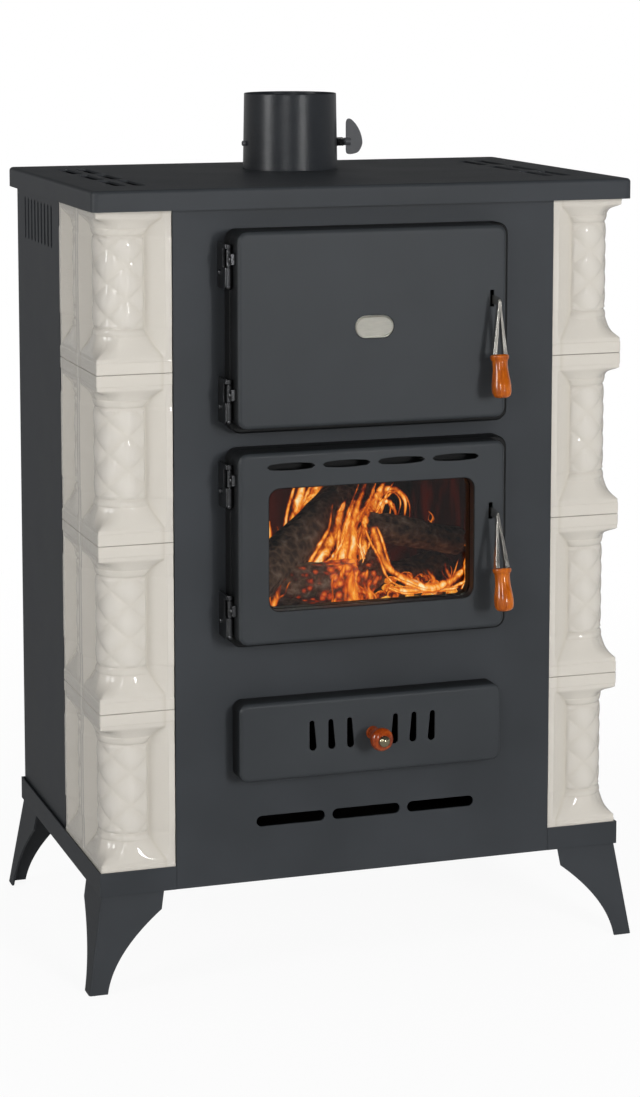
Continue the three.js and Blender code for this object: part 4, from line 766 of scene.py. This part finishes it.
def drawer_front():
    """The drawer's sheet, with three slots on each side of the knob that lean and taper upwards."""
    bottom, sheet, wide, narrow = DRAWER["bottom"], DRAWER["sheet"], 4.75, 3.2
    top = bottom + DRAWER["height"]
    holes = []
    for side in (-1, 1):
        for k in range(3):
            x = DRAWER["middle"] + side * (30.5 + 26 * k)
            foot, head = (x, bottom + 36 + wide), (x + side * 1.5, bottom + 76 - narrow)
            holes.append((slot(foot, head, wide, narrow), sheet, 0.0, LIP))
    outline = inset_rounded(DRAWER["left"], DRAWER["right"], bottom, top, DRAWER["corner"])
    return pressed(facing(DRAWER["front"]), outline, DRAWER["depth"], sheet, DRAWER["edge"], holes)


def front_panel():
    half, top, sheet = PANEL["half"], PANEL["top"], PANEL["sheet"]
    reach, level = 40.25, 80.5
    holes = [slot((x - reach, level), (x + reach, level), 7.25) for x in (-105.4, 0.0, 105.4)]
    holes += [rounded(-172.0, 148.0, data["bottom"] + 22, data["bottom"] + data["height"] - 22, 8.0, 4)
              for data in (OVEN_DOOR, FIRE_DOOR)]
    holes.append(rounded(-158.5, 151.5, 147.0, 227.0, 3.0, 4))
    return pressed(facing(0.0), lambda inset: [(half - inset, inset), (half - inset, top - inset),
                                               (inset - half, top - inset), (inset - half, inset)],
                   sheet, sheet, 0.4, [(hole, sheet, 0.0, LIP) for hole in holes], 3)


def top_plate():
    """The plate, with two rows of three slots at each side and the flue's hole."""
    sheet = PLATE["sheet"]
    half = BASE["width"] / 2 + PLATE["side"]
    front, back = -PLATE["front"], BASE["depth"] + PLATE["back"]
    pitch, reach, radius = 117, 42, 8.0
    holes = []
    for side in (-1, 1):
        for away in (54, 80):
            for k in (-1, 0, 1):
                x, y = side * (BASE["width"] / 2 - away), (back + front) / 2 + pitch * k
                holes.append((slot((x, y - reach), (x, y + reach), radius), sheet, 0.0, LIP))
    ring = [(FLUE["hole"] * c, FLUE["y"] + FLUE["hole"] * s) for c, s in circle(96)]
    holes.append((ring, sheet, 0.0, 0.3))
    return pressed(lambda u, v, w: (u, v, PLATE["top"] - w),
                   inset_rounded(-half, half, front, back, PLATE["corner"], 3.5),
                   PLATE["skirt"], sheet, PLATE["edge"], holes)


# ---------------------------------------------------------------- turned pieces, hinges and damper

def along_x(x, y, z):
    return lambda a, b, h: (x + h, y + a, z + b)


def along_z(x, y, z):
    return lambda a, b, h: (x + a, y + b, z + h)


def round_bar(skin, place, radius, start, end, edge):
    """A round bar with rounded end edges."""
    inner, bent = radius - edge, edge * 0.3
    skin.lathe([(0, start), (inner, start), (radius - bent, start + bent), (radius, start + edge),
                (radius, end - edge), (radius - bent, end - bent), (inner, end), (0, end)], place, 32)


def flue():
    """The outlet: a thin tube whose mouth draws in a little and is rounded."""
    bottom, top, inner, outer = FLUE["bottom"], FLUE["top"], FLUE["inner"], FLUE["outer"]
    profile = [(inner, bottom), (outer, bottom), (outer, 917.2), (outer, 920.0), (64.6, top - 1.0),
               (64.3, top - 0.3), (63.6, top), (63.0, top - 0.3), (62.6, top - 1.0), (inner, bottom)]
    return Skin().lathe(profile, along_z(0, FLUE["y"], 0), 96)


ELBOW = (-30.5, -2.0)
ARM = 70.0


def pivot_of(data):
    """The latch lever's pivot on a door, in Y and Z."""
    return DOOR["front"] + 8, data["bottom"] + 158


def arm_end(lean):
    """Where the lever's arms end, from its pivot, in Y and Z."""
    swing = math.radians(lean)
    return ELBOW[0] - ARM * math.sin(swing), ELBOW[1] - ARM * math.cos(swing)


def grip(data, length=56.0, tilt=11.0):
    """A turned wooden grip that hangs from the end of its lever."""
    pivot, end = pivot_of(data), arm_end(data["lean"])
    shape = flowing([(11.2, 0), (12.2, 0.02), (12.3, 0.06), (11.6, 0.1), (10.4, 0.135), (10.0, 0.2),
                     (10.1, 0.34), (11.2, 0.5), (12.5, 0.66), (12.75, 0.76), (12.4, 0.87), (10.4, 0.955),
                     (6.0, 0.995), (0, 1.0)], 5)
    turn = Matrix.Translation((LATCH_X, pivot[0] + end[0], pivot[1] + end[1] - 0.3))
    turn = turn @ Matrix.Rotation(math.radians(-tilt), 4, "X")
    return Skin().lathe([(0.0, 0.0)] + [(radius, -length * share) for radius, share in shape],
                        lambda a, b, h: turn @ Vector((a, b, h)))


def knob():
    """The drawer's turned knob and the domed screw in its tip."""
    place = lambda a, b, h: (DRAWER["middle"] + a, -34.6 - h, 197 + b)
    shape = [(9.0, 0.0), (8.6, 1.6), (7.3, 4.2), (7.0, 12.0), (7.4, 19.0), (9.6, 23.0)]
    steps = 24
    for k in range(3, steps + 1):
        a = math.pi / 2 * (1.6 * k / steps - 0.72)
        shape.append((15.5 * math.cos(a), 24 + 11 * (1 + math.sin(a))))
    tip = shape[-1][1]
    wood = Skin().lathe([(0.0, 0.0)] + shape + [(0.0, tip)], place, 64)
    seat, width, height = tip + 0.3, 7.5, 5
    dome = [(width * math.cos(a), seat + height * math.sin(a)) for a in quarter(12)[:-1]]
    return wood, Skin().lathe([(0.0, seat)] + dome + [(0.0, seat + height)], place)


HINGE = dict(x=-198.0, y=-35.0, radius=3.8, knuckle=22.0, cap=6.0, gap=1.0, wing=3.0, height=58.0, notch=10.0)


def fixed_hinge(bottom):
    """The half on the stove: its wing, its knuckle with a ball cap below, and the pin's cap above."""
    skin = Skin()
    y, radius, cap = HINGE["y"], HINGE["radius"], bottom + HINGE["cap"]
    right = HINGE["x"] - radius + HINGE["wing"] / 2
    top, back, wall = bottom + HINGE["height"], y + HINGE["notch"], -0.3
    knee = cap + HINGE["knuckle"]
    sleeve = knee + HINGE["knuckle"] + 2 * HINGE["gap"]
    wing = [(y, bottom + 4), (y + 4, bottom), (wall, bottom), (wall, top), (y, top), (y, sleeve),
            (back, sleeve), (back, knee), (y, knee)]
    skin.prism(wing, sideways, right - HINGE["wing"], right)
    place = along_z(HINGE["x"], y, 0)
    ball = [(radius * math.sin(a), bottom + radius * (1 - math.cos(a))) for a in quarter(8)]
    skin.lathe(ball + [(radius - 0.5, cap - 0.5), (radius, cap), (radius, knee - 0.5), (radius - 0.5, knee),
                       (0.0, knee)], place, 32)
    skin.lathe([(2.0, knee - 1), (2.0, sleeve + 1)], place, 24)
    round_bar(skin, place, radius, sleeve, sleeve + HINGE["cap"], 0.8)
    screw_head(skin, right - HINGE["wing"], y / 3, bottom + HINGE["height"] * 0.35)
    return skin


def screw_head(skin, x, y, z):
    """A pan head that points to the left."""
    dome = [(3.8 * math.cos(a), 1.4 + 1.6 * math.sin(a)) for a in quarter(6)[:-1]]
    skin.lathe([(0.0, -1.2), (3.8, -1.2)] + dome + [(0.0, 3.0)], lambda a, b, h: (x - h, y + a, z + b), 24)


def moving_hinge(bottom):
    """The half on the door: a sleeve on the pin, an ear along the door's side and its screw."""
    skin = Skin()
    x, y, radius, bore = HINGE["x"], HINGE["y"], HINGE["radius"], 2.3
    low = bottom + HINGE["cap"] + HINGE["knuckle"] + HINGE["gap"]
    high = low + HINGE["knuckle"]
    ear = [(y - 15, low + 4), (y, low + 4), (y, low + 18), (y - 15, low + 18)]
    skin.prism(ear, sideways, x - 1.9, -194.3)
    skin.lathe([(bore, low), (radius - 0.5, low), (radius, low + 0.5), (radius, high - 0.5),
                (radius - 0.5, high), (bore, high), (bore, low)], along_z(x, y, 0), 32)
    screw_head(skin, x - 1.9, y - 10.2, low + 11)
    return skin


def damper():
    """The disc, its spindle with a hub, and the flat ear-shaped key."""
    skin = Skin()
    place = along_x(0, FLUE["y"], DAMPER_Z)
    skin.lathe([(0, -1), (58.4, -1), (59, -0.4), (59, 0.4), (58.4, 1), (0, 1)],
               lambda a, b, h: (a, FLUE["y"] + h, DAMPER_Z + b), 64)
    hub = FLUE["outer"] + 13.6
    round_bar(skin, place, 3.5, -FLUE["outer"] - 4, hub + 9, 0.8)
    round_bar(skin, place, 5.5, hub, hub + 9, 0.5)
    shape = flowing([(3, -12), (4.5, -17), (11, -18), (21, -15), (26.5, -6), (27, 2), (24, 13), (18.5, 23),
                     (12, 30), (7.5, 32.3), (4, 30), (3, 24), (3, 6), (3, -12)], 5)[:-1]
    skin.prism([(hub + p[0], DAMPER_Z + p[1]) for p in shape], facing(FLUE["y"]), -1.2, 1.2)
    return skin


def spring():
    """Four coils on the spindle, between the flue and the hub."""
    coils, steps, wire, radius, start, reach = 4, 28, 0.9, 5.4, FLUE["outer"] + 1.5, 10.9
    path = []
    for k in range(coils * steps + 1):
        a = 2 * math.pi * k / steps
        path.append((start + reach * k / (coils * steps), FLUE["y"] + radius * math.cos(a),
                     DAMPER_Z + radius * math.sin(a)))
    return Skin().tube(path, wire, 10)


def leg(side, rear):
    """A leg of folded sheet that narrows downwards in a hollow curve and leans outwards."""
    top, foot, shoulder, sheet = 17.7, -127.0, -24.0, 3.0
    count = 26
    levels = [top, -1.0] + [shoulder + (foot - shoulder) * k / count for k in range(count + 1)]
    near = 2.3

    def place(u, v, w):
        """A point u and v inwards from the tray's corner."""
        return (side * (BASE["width"] / 2 - near - u), BASE["depth"] - near - v if rear else near + v, w)

    rings = []
    for z in levels:
        lean = max(0.0, z / foot)
        fall = max(0.0, (shoulder - z) / (shoulder - foot))
        width = 25 + 59 * (1 - fall) ** 2
        section = [(0, width)] + rolled(3.5, 5) + [(width, 0), (width, sheet), (sheet + 0.6, sheet),
                                                   (sheet, sheet + 0.6), (sheet, width)]
        if side * (1 if rear else -1) < 0:
            section = [(across, along) for along, across in section]
        rings.append([place(along - 21 * lean, across - 14 * lean, z) for along, across in section])
    skin = Skin()
    skin.solid(rings)
    skin.prism([(0, 0), (60, 0), (60, 60), (0, 60)], place, top - sheet, top)
    return skin


def latch(data):
    """The lever: a web on the pivot with a nose at its back, and two arms that spread down to the grip."""
    skin = Skin()
    y, z = pivot_of(data)
    web = [(39, -4.5), (39, 4.5), (6, 4.5), (0, 6), (-6, 4.5), (-30.5, 2), (-34.5, 0), (-34.5, -4),
           (-26.5, -8), (-8, -8), (0, -6), (6, -4.5)]
    skin.prism([(y + u, z + v) for u, v in web], sideways, LATCH_X - 1.2, LATCH_X + 1.2)
    end = arm_end(data["lean"])
    steps, deep = 14, 4.0
    for hand in (-1, 1):
        rings = []
        for k in range(steps + 1):
            share = k / steps
            x = LATCH_X + hand * (0.9 + 6.3 * max(0.0, share - 0.12) / 0.88)
            along, up = [near + (far - near) * share for near, far in zip(ELBOW, end)]
            wide = 1.2 + 1.5 * share
            slope = math.tan(math.radians(11)) * share
            rings.append([(x + dx, y + along + dy, z + up - dy * slope)
                          for dx, dy in ((-wide, -deep), (wide, -deep), (wide, deep), (-wide, deep))])
        skin.solid(rings)
    return skin


def window_glass():
    return Skin().prism(rounded(-161.5, 134.5, 367.6, 542.6, 22.0), facing(0.0), -47.7, -43.7)


def oval_plate():
    """The small plate in the oven door's recess: a raised rim round a plain field."""
    skin = Skin()
    outline = oval(14.6, 18)
    steps = [(0.0, 1.1), (0.0, 0.35), (-0.3, 0.08), (-0.9, 0.0), (-1.7, 0.05), (-2.2, 0.3), (-2.5, 0.6),
             (-3.2, 0.62)]
    skin.solid([[(u, DOOR["front"] + w, v) for u, v in grown(outline, inset)] for inset, w in steps])
    return skin


def plate_screws():
    """Four flat screw heads in the top plate."""
    skin = Skin()
    head = [(0.0, -0.6), (4.6, -0.6), (4.6, -0.1), (4.2, 0.0), (1.9, -0.02), (1.7, -0.5), (0.0, -0.5)]
    for x in (-197, 197):
        for y in (63, 402):
            skin.lathe(head, along_z(x, y, PLATE["top"]), 24)
    return skin


def fine_pieces():
    """Everything that the photograph shows close up, in place of its plainer solid."""
    piece("panel_front", front_panel(), "paint", "body", ["front_panel"])
    piece("plate_top", top_plate(), "paint", "body", ["top_plate"])
    piece("plate_screws", plate_screws(), "black", "body")
    piece("outlet_flue", flue(), "flue", "body", ["flue_spigot"])
    piece("damper_turned", damper(), "grey", "damper", ["damper"], bevel=0.0003)
    piece("spring_coiled", spring(), "black", "damper", ["damper_spring"])
    for end, rear in (("front", False), ("back", True)):
        for hand, side in (("left", -1), ("right", 1)):
            skin = leg(side, rear)
            piece(f"foot_{end}_{hand}", skin, "paint", "body", [f"leg_{end}_{hand}"], bevel=0.0004)
    piece("oven_door_pressed", oven_door(), "door", "oven_door", ["oven_door_cover"])
    piece("oven_door_plate", oval_plate(), "plate", "oven_door")
    piece("fire_door_pressed", fire_door(), "door", "fire_door", ["fire_door_cover"])
    piece("window_pane", window_glass(), "glass", "fire_door", ["fire_door_glass"], bevel=0.0004)
    piece("drawer_pressed", drawer_front(), "door", "ash_drawer", ["ash_drawer_front"])
    wood, screw = knob()
    piece("knob_turned", wood, "red_wood", "ash_drawer", ["ash_drawer_knob"])
    piece("knob_screw", screw, "brass", "ash_drawer", ["ash_drawer_knob_screw"])
    for name, data in (("oven_door", OVEN_DOOR), ("fire_door", FIRE_DOOR)):
        # black surround whose rim is painted shade along the door's right and lower edges
        piece(f"{name}_surround", door_frame(data), "black", "body", [f"{name}_frame"])
        piece(f"{name}_lever", latch(data), "chrome", f"{name}_handle", [f"{name}_latch"], bevel=0.0003)
        piece(f"{name}_handgrip", grip(data), "wood", f"{name}_handle", [f"{name}_grip"])
        for place, bottom in (("lower", data["bottom"] + 4), ("upper", data["bottom"] + data["height"] - 75)):
            for kind, half, body in (("fixed", fixed_hinge, "body"), ("moving", moving_hinge, name)):
                piece(f"{name}_knuckle_{place}_{kind}", half(bottom), "steel", body,
                      [f"{name}_hinge_{place}_{kind}"], bevel=0.0003)


# ---------------------------------------------------------------- the fire behind the window

FIRE_FLOOR = 306.6
FIRE_SEED = 11


def bed_height(x, y):
    """The heap of embers: low in front and to the sides, higher in the middle."""
    edge = smooth((215 - abs(x)) / 60) * smooth((y - 25) / 40) * smooth((390 - y) / 80)
    peak = math.exp(-((x - 35) / 75) ** 2 - ((y - 190) / 70) ** 2)
    return FIRE_FLOOR + 2 + edge * (34 + 52 * peak)


def ash_bed():
    skin = Skin()
    rows, columns = 26, 30
    grid = []
    for row in range(rows + 1):
        y = 30 + 355 * row / rows
        across = [-195 + 390 * k / columns for k in range(columns + 1)]
        grid.append(skin.ring([(x, y, bed_height(x, y) - 3) for x in across]))
    skin.join(grid, closed=False)
    border = grid[0] + [row[-1] for row in grid[1:-1]] + grid[-1][::-1] + [row[0] for row in grid[-2:0:-1]]
    low = skin.ring([(skin.points[i].x, skin.points[i].y, FIRE_FLOOR) for i in border])
    skin.bridge(border, low)
    skin.fill(low)
    return skin


def embers(draw):
    """Loose glowing lumps on the heap, hottest at the front right."""
    skin = Skin()
    lump = [(0.0, -0.6), (0.62, -0.5), (0.95, -0.08), (0.8, 0.36), (0.42, 0.58), (0.0, 0.6)]
    turns = circle(7)
    for row in range(13):
        for column in range(17):
            x = -182 + 364 * (column + draw.uniform(-0.4, 0.4)) / 16
            y = 42 + 290 * (row / 12) ** 1.3 + draw.uniform(-6, 6)
            size = draw.uniform(7, 13)
            heat = smooth((x + 70) / 130) * smooth((260 - y) / 150) * draw.uniform(0.55, 1.0)
            place = Matrix.Translation((x, y, bed_height(x, y) + size * 0.1))
            place = place @ Matrix.Rotation(draw.uniform(0, 6.3), 4, "Z")
            place = place @ Matrix.Rotation(draw.uniform(-0.7, 0.7), 4, "X")
            start = len(skin.points)
            corners = [draw.uniform(0.75, 1.15) for _ in turns]
            plan = [(size * corners[k] * c, size * 0.8 * corners[k - 3] * s)
                    for k, (c, s) in enumerate(turns)]
            skin.loft([[place @ Vector((r * a, r * b, size * h * 0.8)) for a, b in plan] for r, h in lump])
            for index in range(start, len(skin.points)):
                skin.tone[index] = heat * draw.uniform(0.8, 1.0)
    return skin


def log(start, end, radius, heat, seed, knots=46, sides=40):
    """A split log: a bent, ridged round bar with broken ends; heat is its glow from start to end."""
    skin = Skin()
    start, end = Vector(start), Vector(end)
    along = (end - start).normalized()
    side = along.cross(Vector((0, 0, 1))).normalized()
    up = side.cross(along)
    rings = []
    for row in range(knots + 1):
        share = row / knots
        middle = start.lerp(end, share) + up * 3.0 * math.sin(3.1 * share + seed)
        middle += side * 2.5 * math.sin(4.3 * share)
        ring = []
        for k, (c, s) in enumerate(circle(sides)):
            a = 2 * math.pi * k / sides
            ridges = 0.05 * math.sin(5 * a + seed + 2 * share) + 0.035 * math.sin(11 * a + 7 * share + seed)
            scales = 0.03 * math.sin(23 * a + 3 * seed) * math.sin(34 * share + 3 * math.sin(4 * a))
            lump = 0.05 * math.sin(9 * share + 2 * a + seed)
            r = radius * (1 + ridges + scales + lump)
            ring.append(middle + (side * c + up * s) * r)
        rings.append(ring)
    ends = []
    for ring, way in ((rings[0], -1), (rings[-1], 1)):
        centre = sum(ring, Vector()) / len(ring)
        torn = [(p - centre, 2.5 * math.sin(7 * k / sides * 6.283 + seed)) for k, p in enumerate(ring)]
        ends.append([[centre + reach * scale + along * way * (1.5 + tear * scale) for reach, tear in torn]
                     for scale in (0.94, 0.7, 0.4, 0.12)])
    made = skin.solid(ends[0][::-1] + rings + ends[1])
    for row, ring in enumerate(made):
        share = min(1.0, max(0.0, (row - 4) / (len(made) - 9)))
        skin.tone.update(dict.fromkeys(ring, heat[0] + (heat[1] - heat[0]) * share))
    return skin


FACING = Vector((0.32, 0.93, -0.18)).normalized()


def tongue(skin, path, width, base, tip, wave, phase):
    """One flame: a curved ribbon along a path, hottest along its middle and near its root."""
    line = flowing(path, 10)
    count = len(line) - 1
    spread = [k / 5 - 1 for k in range(11)]
    rings = []
    for i, point in enumerate(line):
        share = i / count
        along = (line[min(i + 1, count)] - line[max(i - 1, 0)]).normalized()
        across = along.cross(FACING).normalized()
        belly = math.sin(math.pi * min(1.0, 0.16 + share * 0.84)) ** 0.7
        reach = width * (belly * 0.8 + 0.2 * (1 - share)) / 2
        middle = point + across * wave * math.sin(9 * share + phase)
        heat = (base + (tip - base) * share ** 1.4) * smooth((1 - share) / 0.1) * smooth((share + 0.04) / 0.1)
        ribbon = [middle + across * reach * s - FACING * reach * 0.45 * (1 - s * s) for s in spread]
        rings.append(skin.ring(ribbon, [heat * (1 - abs(s) ** 1.8) for s in spread]))
    skin.join(rings, closed=False)


def flames():
    """The fire itself: the tongues that rise in the middle, the arch, the sweep and those behind the log."""
    skin = Skin()
    rows = (
        (30, 0.95, 0.75, (-40, 116, 372), (-26, 118, 398), (-8, 124, 428), (8, 134, 452), (22, 144, 478)),
        (26, 0.9, 0.6, (-14, 112, 368), (0, 112, 398), (10, 120, 430), (22, 132, 455), (36, 146, 480)),
        (24, 0.85, 0.6, (6, 108, 366), (14, 112, 396), (25, 126, 440), (40, 142, 474), (56, 160, 503)),
        (24, 0.85, 0.55, (26, 106, 366), (32, 114, 402), (46, 134, 446), (68, 156, 476), (90, 172, 503)),
        (22, 0.8, 0.6, (12, 118, 380), (16, 126, 410), (28, 140, 436), (52, 156, 462), (70, 168, 488)),
        (17, 0.75, 0.75, (52, 150, 440), (74, 168, 468), (92, 178, 478), (108, 180, 478), (120, 182, 462),
         (117, 182, 436)),
        (14, 0.8, 0.7, (70, 160, 448), (82, 170, 462), (96, 176, 462), (103, 178, 448), (101, 178, 432)),
        (20, 0.7, 0.95, (38, 92, 446), (46, 90, 422), (56, 86, 400), (68, 82, 384), (88, 80, 371),
         (112, 78, 365)),
        (22, 0.95, 0.8, (70, 80, 378), (92, 78, 367), (122, 78, 361), (152, 82, 366), (172, 88, 380),
         (182, 92, 402)),
        (16, 0.9, 0.9, (60, 82, 362), (90, 80, 358), (125, 80, 355), (165, 84, 358)),
        (26, 0.9, 0.7, (-46, 232, 396), (-30, 240, 420), (-14, 250, 450), (-6, 258, 480), (-4, 262, 498)),
        (30, 0.9, 0.75, (-26, 232, 396), (-10, 242, 426), (6, 254, 456), (22, 262, 482), (36, 266, 498)),
        (22, 0.8, 0.6, (-4, 236, 400), (10, 246, 430), (26, 256, 455), (46, 262, 485)),
        (20, 1.0, 0.9, (-86, 212, 380), (-74, 216, 404), (-66, 220, 424), (-64, 222, 438)),
        (16, 0.7, 0.6, (-112, 58, 346), (-108, 60, 366), (-100, 62, 380), (-90, 64, 392)),
        (26, 0.75, 0.4, (4, 56, 344), (0, 54, 362), (-4, 54, 384), (2, 58, 404)),
        (18, 0.7, 0.4, (22, 58, 344), (24, 56, 362), (16, 58, 380), (22, 62, 396)),
        (16, 0.65, 0.4, (-26, 60, 350), (-24, 58, 370), (-16, 60, 392), (-6, 66, 408)),
        (12, 0.8, 0.5, (92, 84, 352), (94, 84, 366), (88, 86, 384)),
        (12, 0.8, 0.5, (120, 84, 352), (124, 84, 368), (118, 86, 386)),
        (13, 0.8, 0.5, (148, 88, 352), (150, 88, 370), (144, 90, 392)),
        (14, 0.9, 0.6, (172, 92, 352), (180, 94, 376), (184, 96, 398), (180, 98, 416)),
        (9, 1.0, 0.8, (-2, 104, 378), (-8, 106, 398), (2, 112, 420), (10, 118, 446)),
        (9, 1.0, 0.75, (30, 104, 380), (34, 106, 400), (28, 112, 424), (40, 122, 450)),
        (6, 0.9, 0.7, (148, 160, 424), (151, 160, 432), (151, 161, 441), (148, 162, 450)),
    )
    for number, (width, base, tip, *path) in enumerate(rows):
        tongue(skin, path, width * 0.74, base, tip, 1.8, number)
        for side in (-1, 1):
            drift = [(x + side * width * (0.34 + 0.07 * k), y + 3 * side, z - 2 * k * (1 + side * 0.5))
                     for k, (x, y, z) in enumerate(path)]
            tongue(skin, drift, width * 0.3, base * 0.9, tip * 0.8, 2.8, number * 1.7 + side)
    return skin


def fire():
    draw = random.Random(FIRE_SEED)
    piece("ash_heap", ash_bed(), "charcoal", "body", angle=80)
    piece("embers", embers(draw), "ember", "body", angle=30)
    logs = (
        ("log_leaning", (-152, 44, 381), (84, 274, 474), 27.0, (0.0, 0.25), 0.4),
        ("log_front", (-140, 112, 372), (10, 78, 377), 30.0, (0.05, 0.9), 2.0),
        ("log_cracked", (14, 92, 368), (62, 128, 392), 22.0, (0.75, 0.3), 4.1),
        ("log_right", (44, 146, 436), (196, 172, 404), 19.0, (0.3, 0.05), 1.2),
        ("log_under", (74, 186, 346), (190, 236, 350), 26.0, (0.1, 0.0), 3.0),
    )
    for name, start, end, radius, heat, seed in logs:
        piece(name, log(start, end, radius, heat, seed), "charred", "body", angle=60)
    piece("flames", flames(), "flame", "body", angle=180)


# ---------------------------------------------------------------- carried-over solids

FINISHES = {
    "paint": "base_tray leg_ front_panel side_panel back_panel top_plate door_cover drawer_front",
    "soot": "body_shell",
    "enamel": "oven_box oven_door_liner",
    "black": "damper_spring fire_door_liner door_frame",
    "flue": "flue_spigot",
    "grey": "damper",
    "chrome": "oven_rack door_latch",
    # the firebricks glow with painted firelight
    "hot_brick": "firebrick",
    "cast": "fire_grate",
    "steel": "door_hinge ash_pan",
    "wood": "door_grip",
    "red_wood": "drawer_knob",
    "brass": "drawer_knob_screw",
    "rope": "door_seal",
    "glass": "door_glass",
    "glaze": "corner_tile side_tile",
}


def finish_of(name):
    """The finish with the longest listed word that is part of the node's name."""
    return max((len(word), finish) for finish, words in FINISHES.items() for word in words.split()
               if word in name)[1]


def dress_nodes():
    for name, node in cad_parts.items():
        node.data.materials.clear()
        node.data.materials.append(MATERIALS[finish_of(name)])
        width, segments = (0.0012, 3) if name == "base_tray" else (0.0005, 2)
        soften(node, width, segments)


# ---------------------------------------------------------------- studio

def area(name, place, aim, size, power, glossy):
    """A lamp that points at the frame's upright axis at the height aim; glossy ones show in reflections."""
    light = bpy.data.lights.new(name, "AREA")
    light.shape = "RECTANGLE"
    light.size, light.size_y = size
    light.energy = power
    item = bpy.data.objects.new(name, light)
    item.location = place
    item.rotation_euler = (Vector((0, 0, aim)) - Vector(place)).to_track_quat("-Z", "Y").to_euler()
    item.visible_glossy = glossy
    bpy.context.scene.collection.objects.link(item)


def lights():
    for lamp in (
        ("key", (1.0, -4.2, 1.6), 0.6, (1.0, 1.2), 110, False),
        ("kicker", (-1.75, -3.15, 1.7), 0.6, (0.35, 0.9), 14, True),
        ("sparkle", (1.0, -4.1, 1.2), 0.6, (0.16, 0.45), 20, True),
        ("side", (-3.6, -0.9, 1.7), 0.7, (0.8, 1.4), 40, True),
        ("top", (0.2, 0.9, 4.2), 1.0, (3.0, 1.4), 6, False),
        ("back", (1.6, 3.6, 2.2), 0.8, (2.4, 2.4), 70, False),
    ):
        area(*lamp)


def backdrop():
    """Even white where the background is seen, a dimmer room in reflections and as light."""
    world = bpy.data.worlds.new("studio")
    bpy.context.scene.world = world
    world.use_nodes = True
    made = Graph(world.node_tree)
    plain = made.tree.nodes["Background"]
    plain.inputs["Color"].default_value = (1, 1, 1, 1)
    plain.inputs["Strength"].default_value = 0.3
    path = made.node("ShaderNodeLightPath").outputs
    fresh = made.calc("LESS_THAN", path["Diffuse Depth"], 0.5)
    seen = made.calc("MULTIPLY_ADD", path["Is Transmission Ray"], fresh, path["Is Camera Ray"])
    way = made.node("ShaderNodeTexCoord").outputs["Generated"]
    up = made.node("ShaderNodeSeparateXYZ", {0: way}).outputs["Z"]
    dome = made.span(up, 0.55, 0.06, 0.0, 0.22)
    shade = made.by_ray("ShaderNodeBackground", plain.outputs[0], (path["Is Glossy Ray"], dome), (seen, 1.0))
    made.link(shade, made.tree.nodes["World Output"].inputs["Surface"])


def floor():
    """A pale floor that reads as white to the camera, with a faint shadow, and stays dim in reflections."""
    reach = 30.0
    corners = [(-reach, -reach, 0), (reach, -reach, 0), (reach, reach, 0), (-reach, reach, 0)]
    mesh = bpy.data.meshes.new("studio_floor")
    mesh.from_pydata(corners, [], [(0, 1, 2, 3)])
    item = bpy.data.objects.new("studio_floor", mesh)
    bpy.context.scene.collection.objects.link(item)
    made = Shader("pale_floor", Roughness=0.9, Specular_IOR_Level=0.1)
    mesh.materials.append(made.feed(Base_Color=made.ramp(made.noise(2, detail=2), "0.3 ececec, 0.7 f2f2f2")))
    path = made.node("ShaderNodeLightPath").outputs
    place = made.node("ShaderNodeNewGeometry").outputs["Position"]
    far = made.node("ShaderNodeVectorMath", {0: place}, operation="LENGTH").outputs["Value"]
    share = made.calc("MULTIPLY", path["Is Camera Ray"], made.span(far, 0.93, 1.0, 0.6, 2.4))
    plain = made.surface.outputs[0]
    shade = made.by_ray("ShaderNodeEmission", plain, (path["Is Glossy Ray"], 0.22), (share, 1.0))
    made.link(shade, made.tree.nodes["Material Output"].inputs["Surface"])


def camera():
    data = bpy.data.cameras.new("camera")
    data.lens = 91.32
    data.sensor_width = 36
    data.shift_y = -0.1996
    item = bpy.data.objects.new("camera", data)
    item.location = (-1.1973, -3.5746, 1.3037)
    item.rotation_euler = (math.radians(90 - 7.12), 0, -math.radians(18.44))
    bpy.context.scene.collection.objects.link(item)
    bpy.context.scene.camera = item


dress_nodes()
place_tiles()
fine_pieces()
fire()
backdrop()
floor()
lights()
camera()

bpy.context.scene.view_settings.view_transform = "Standard"
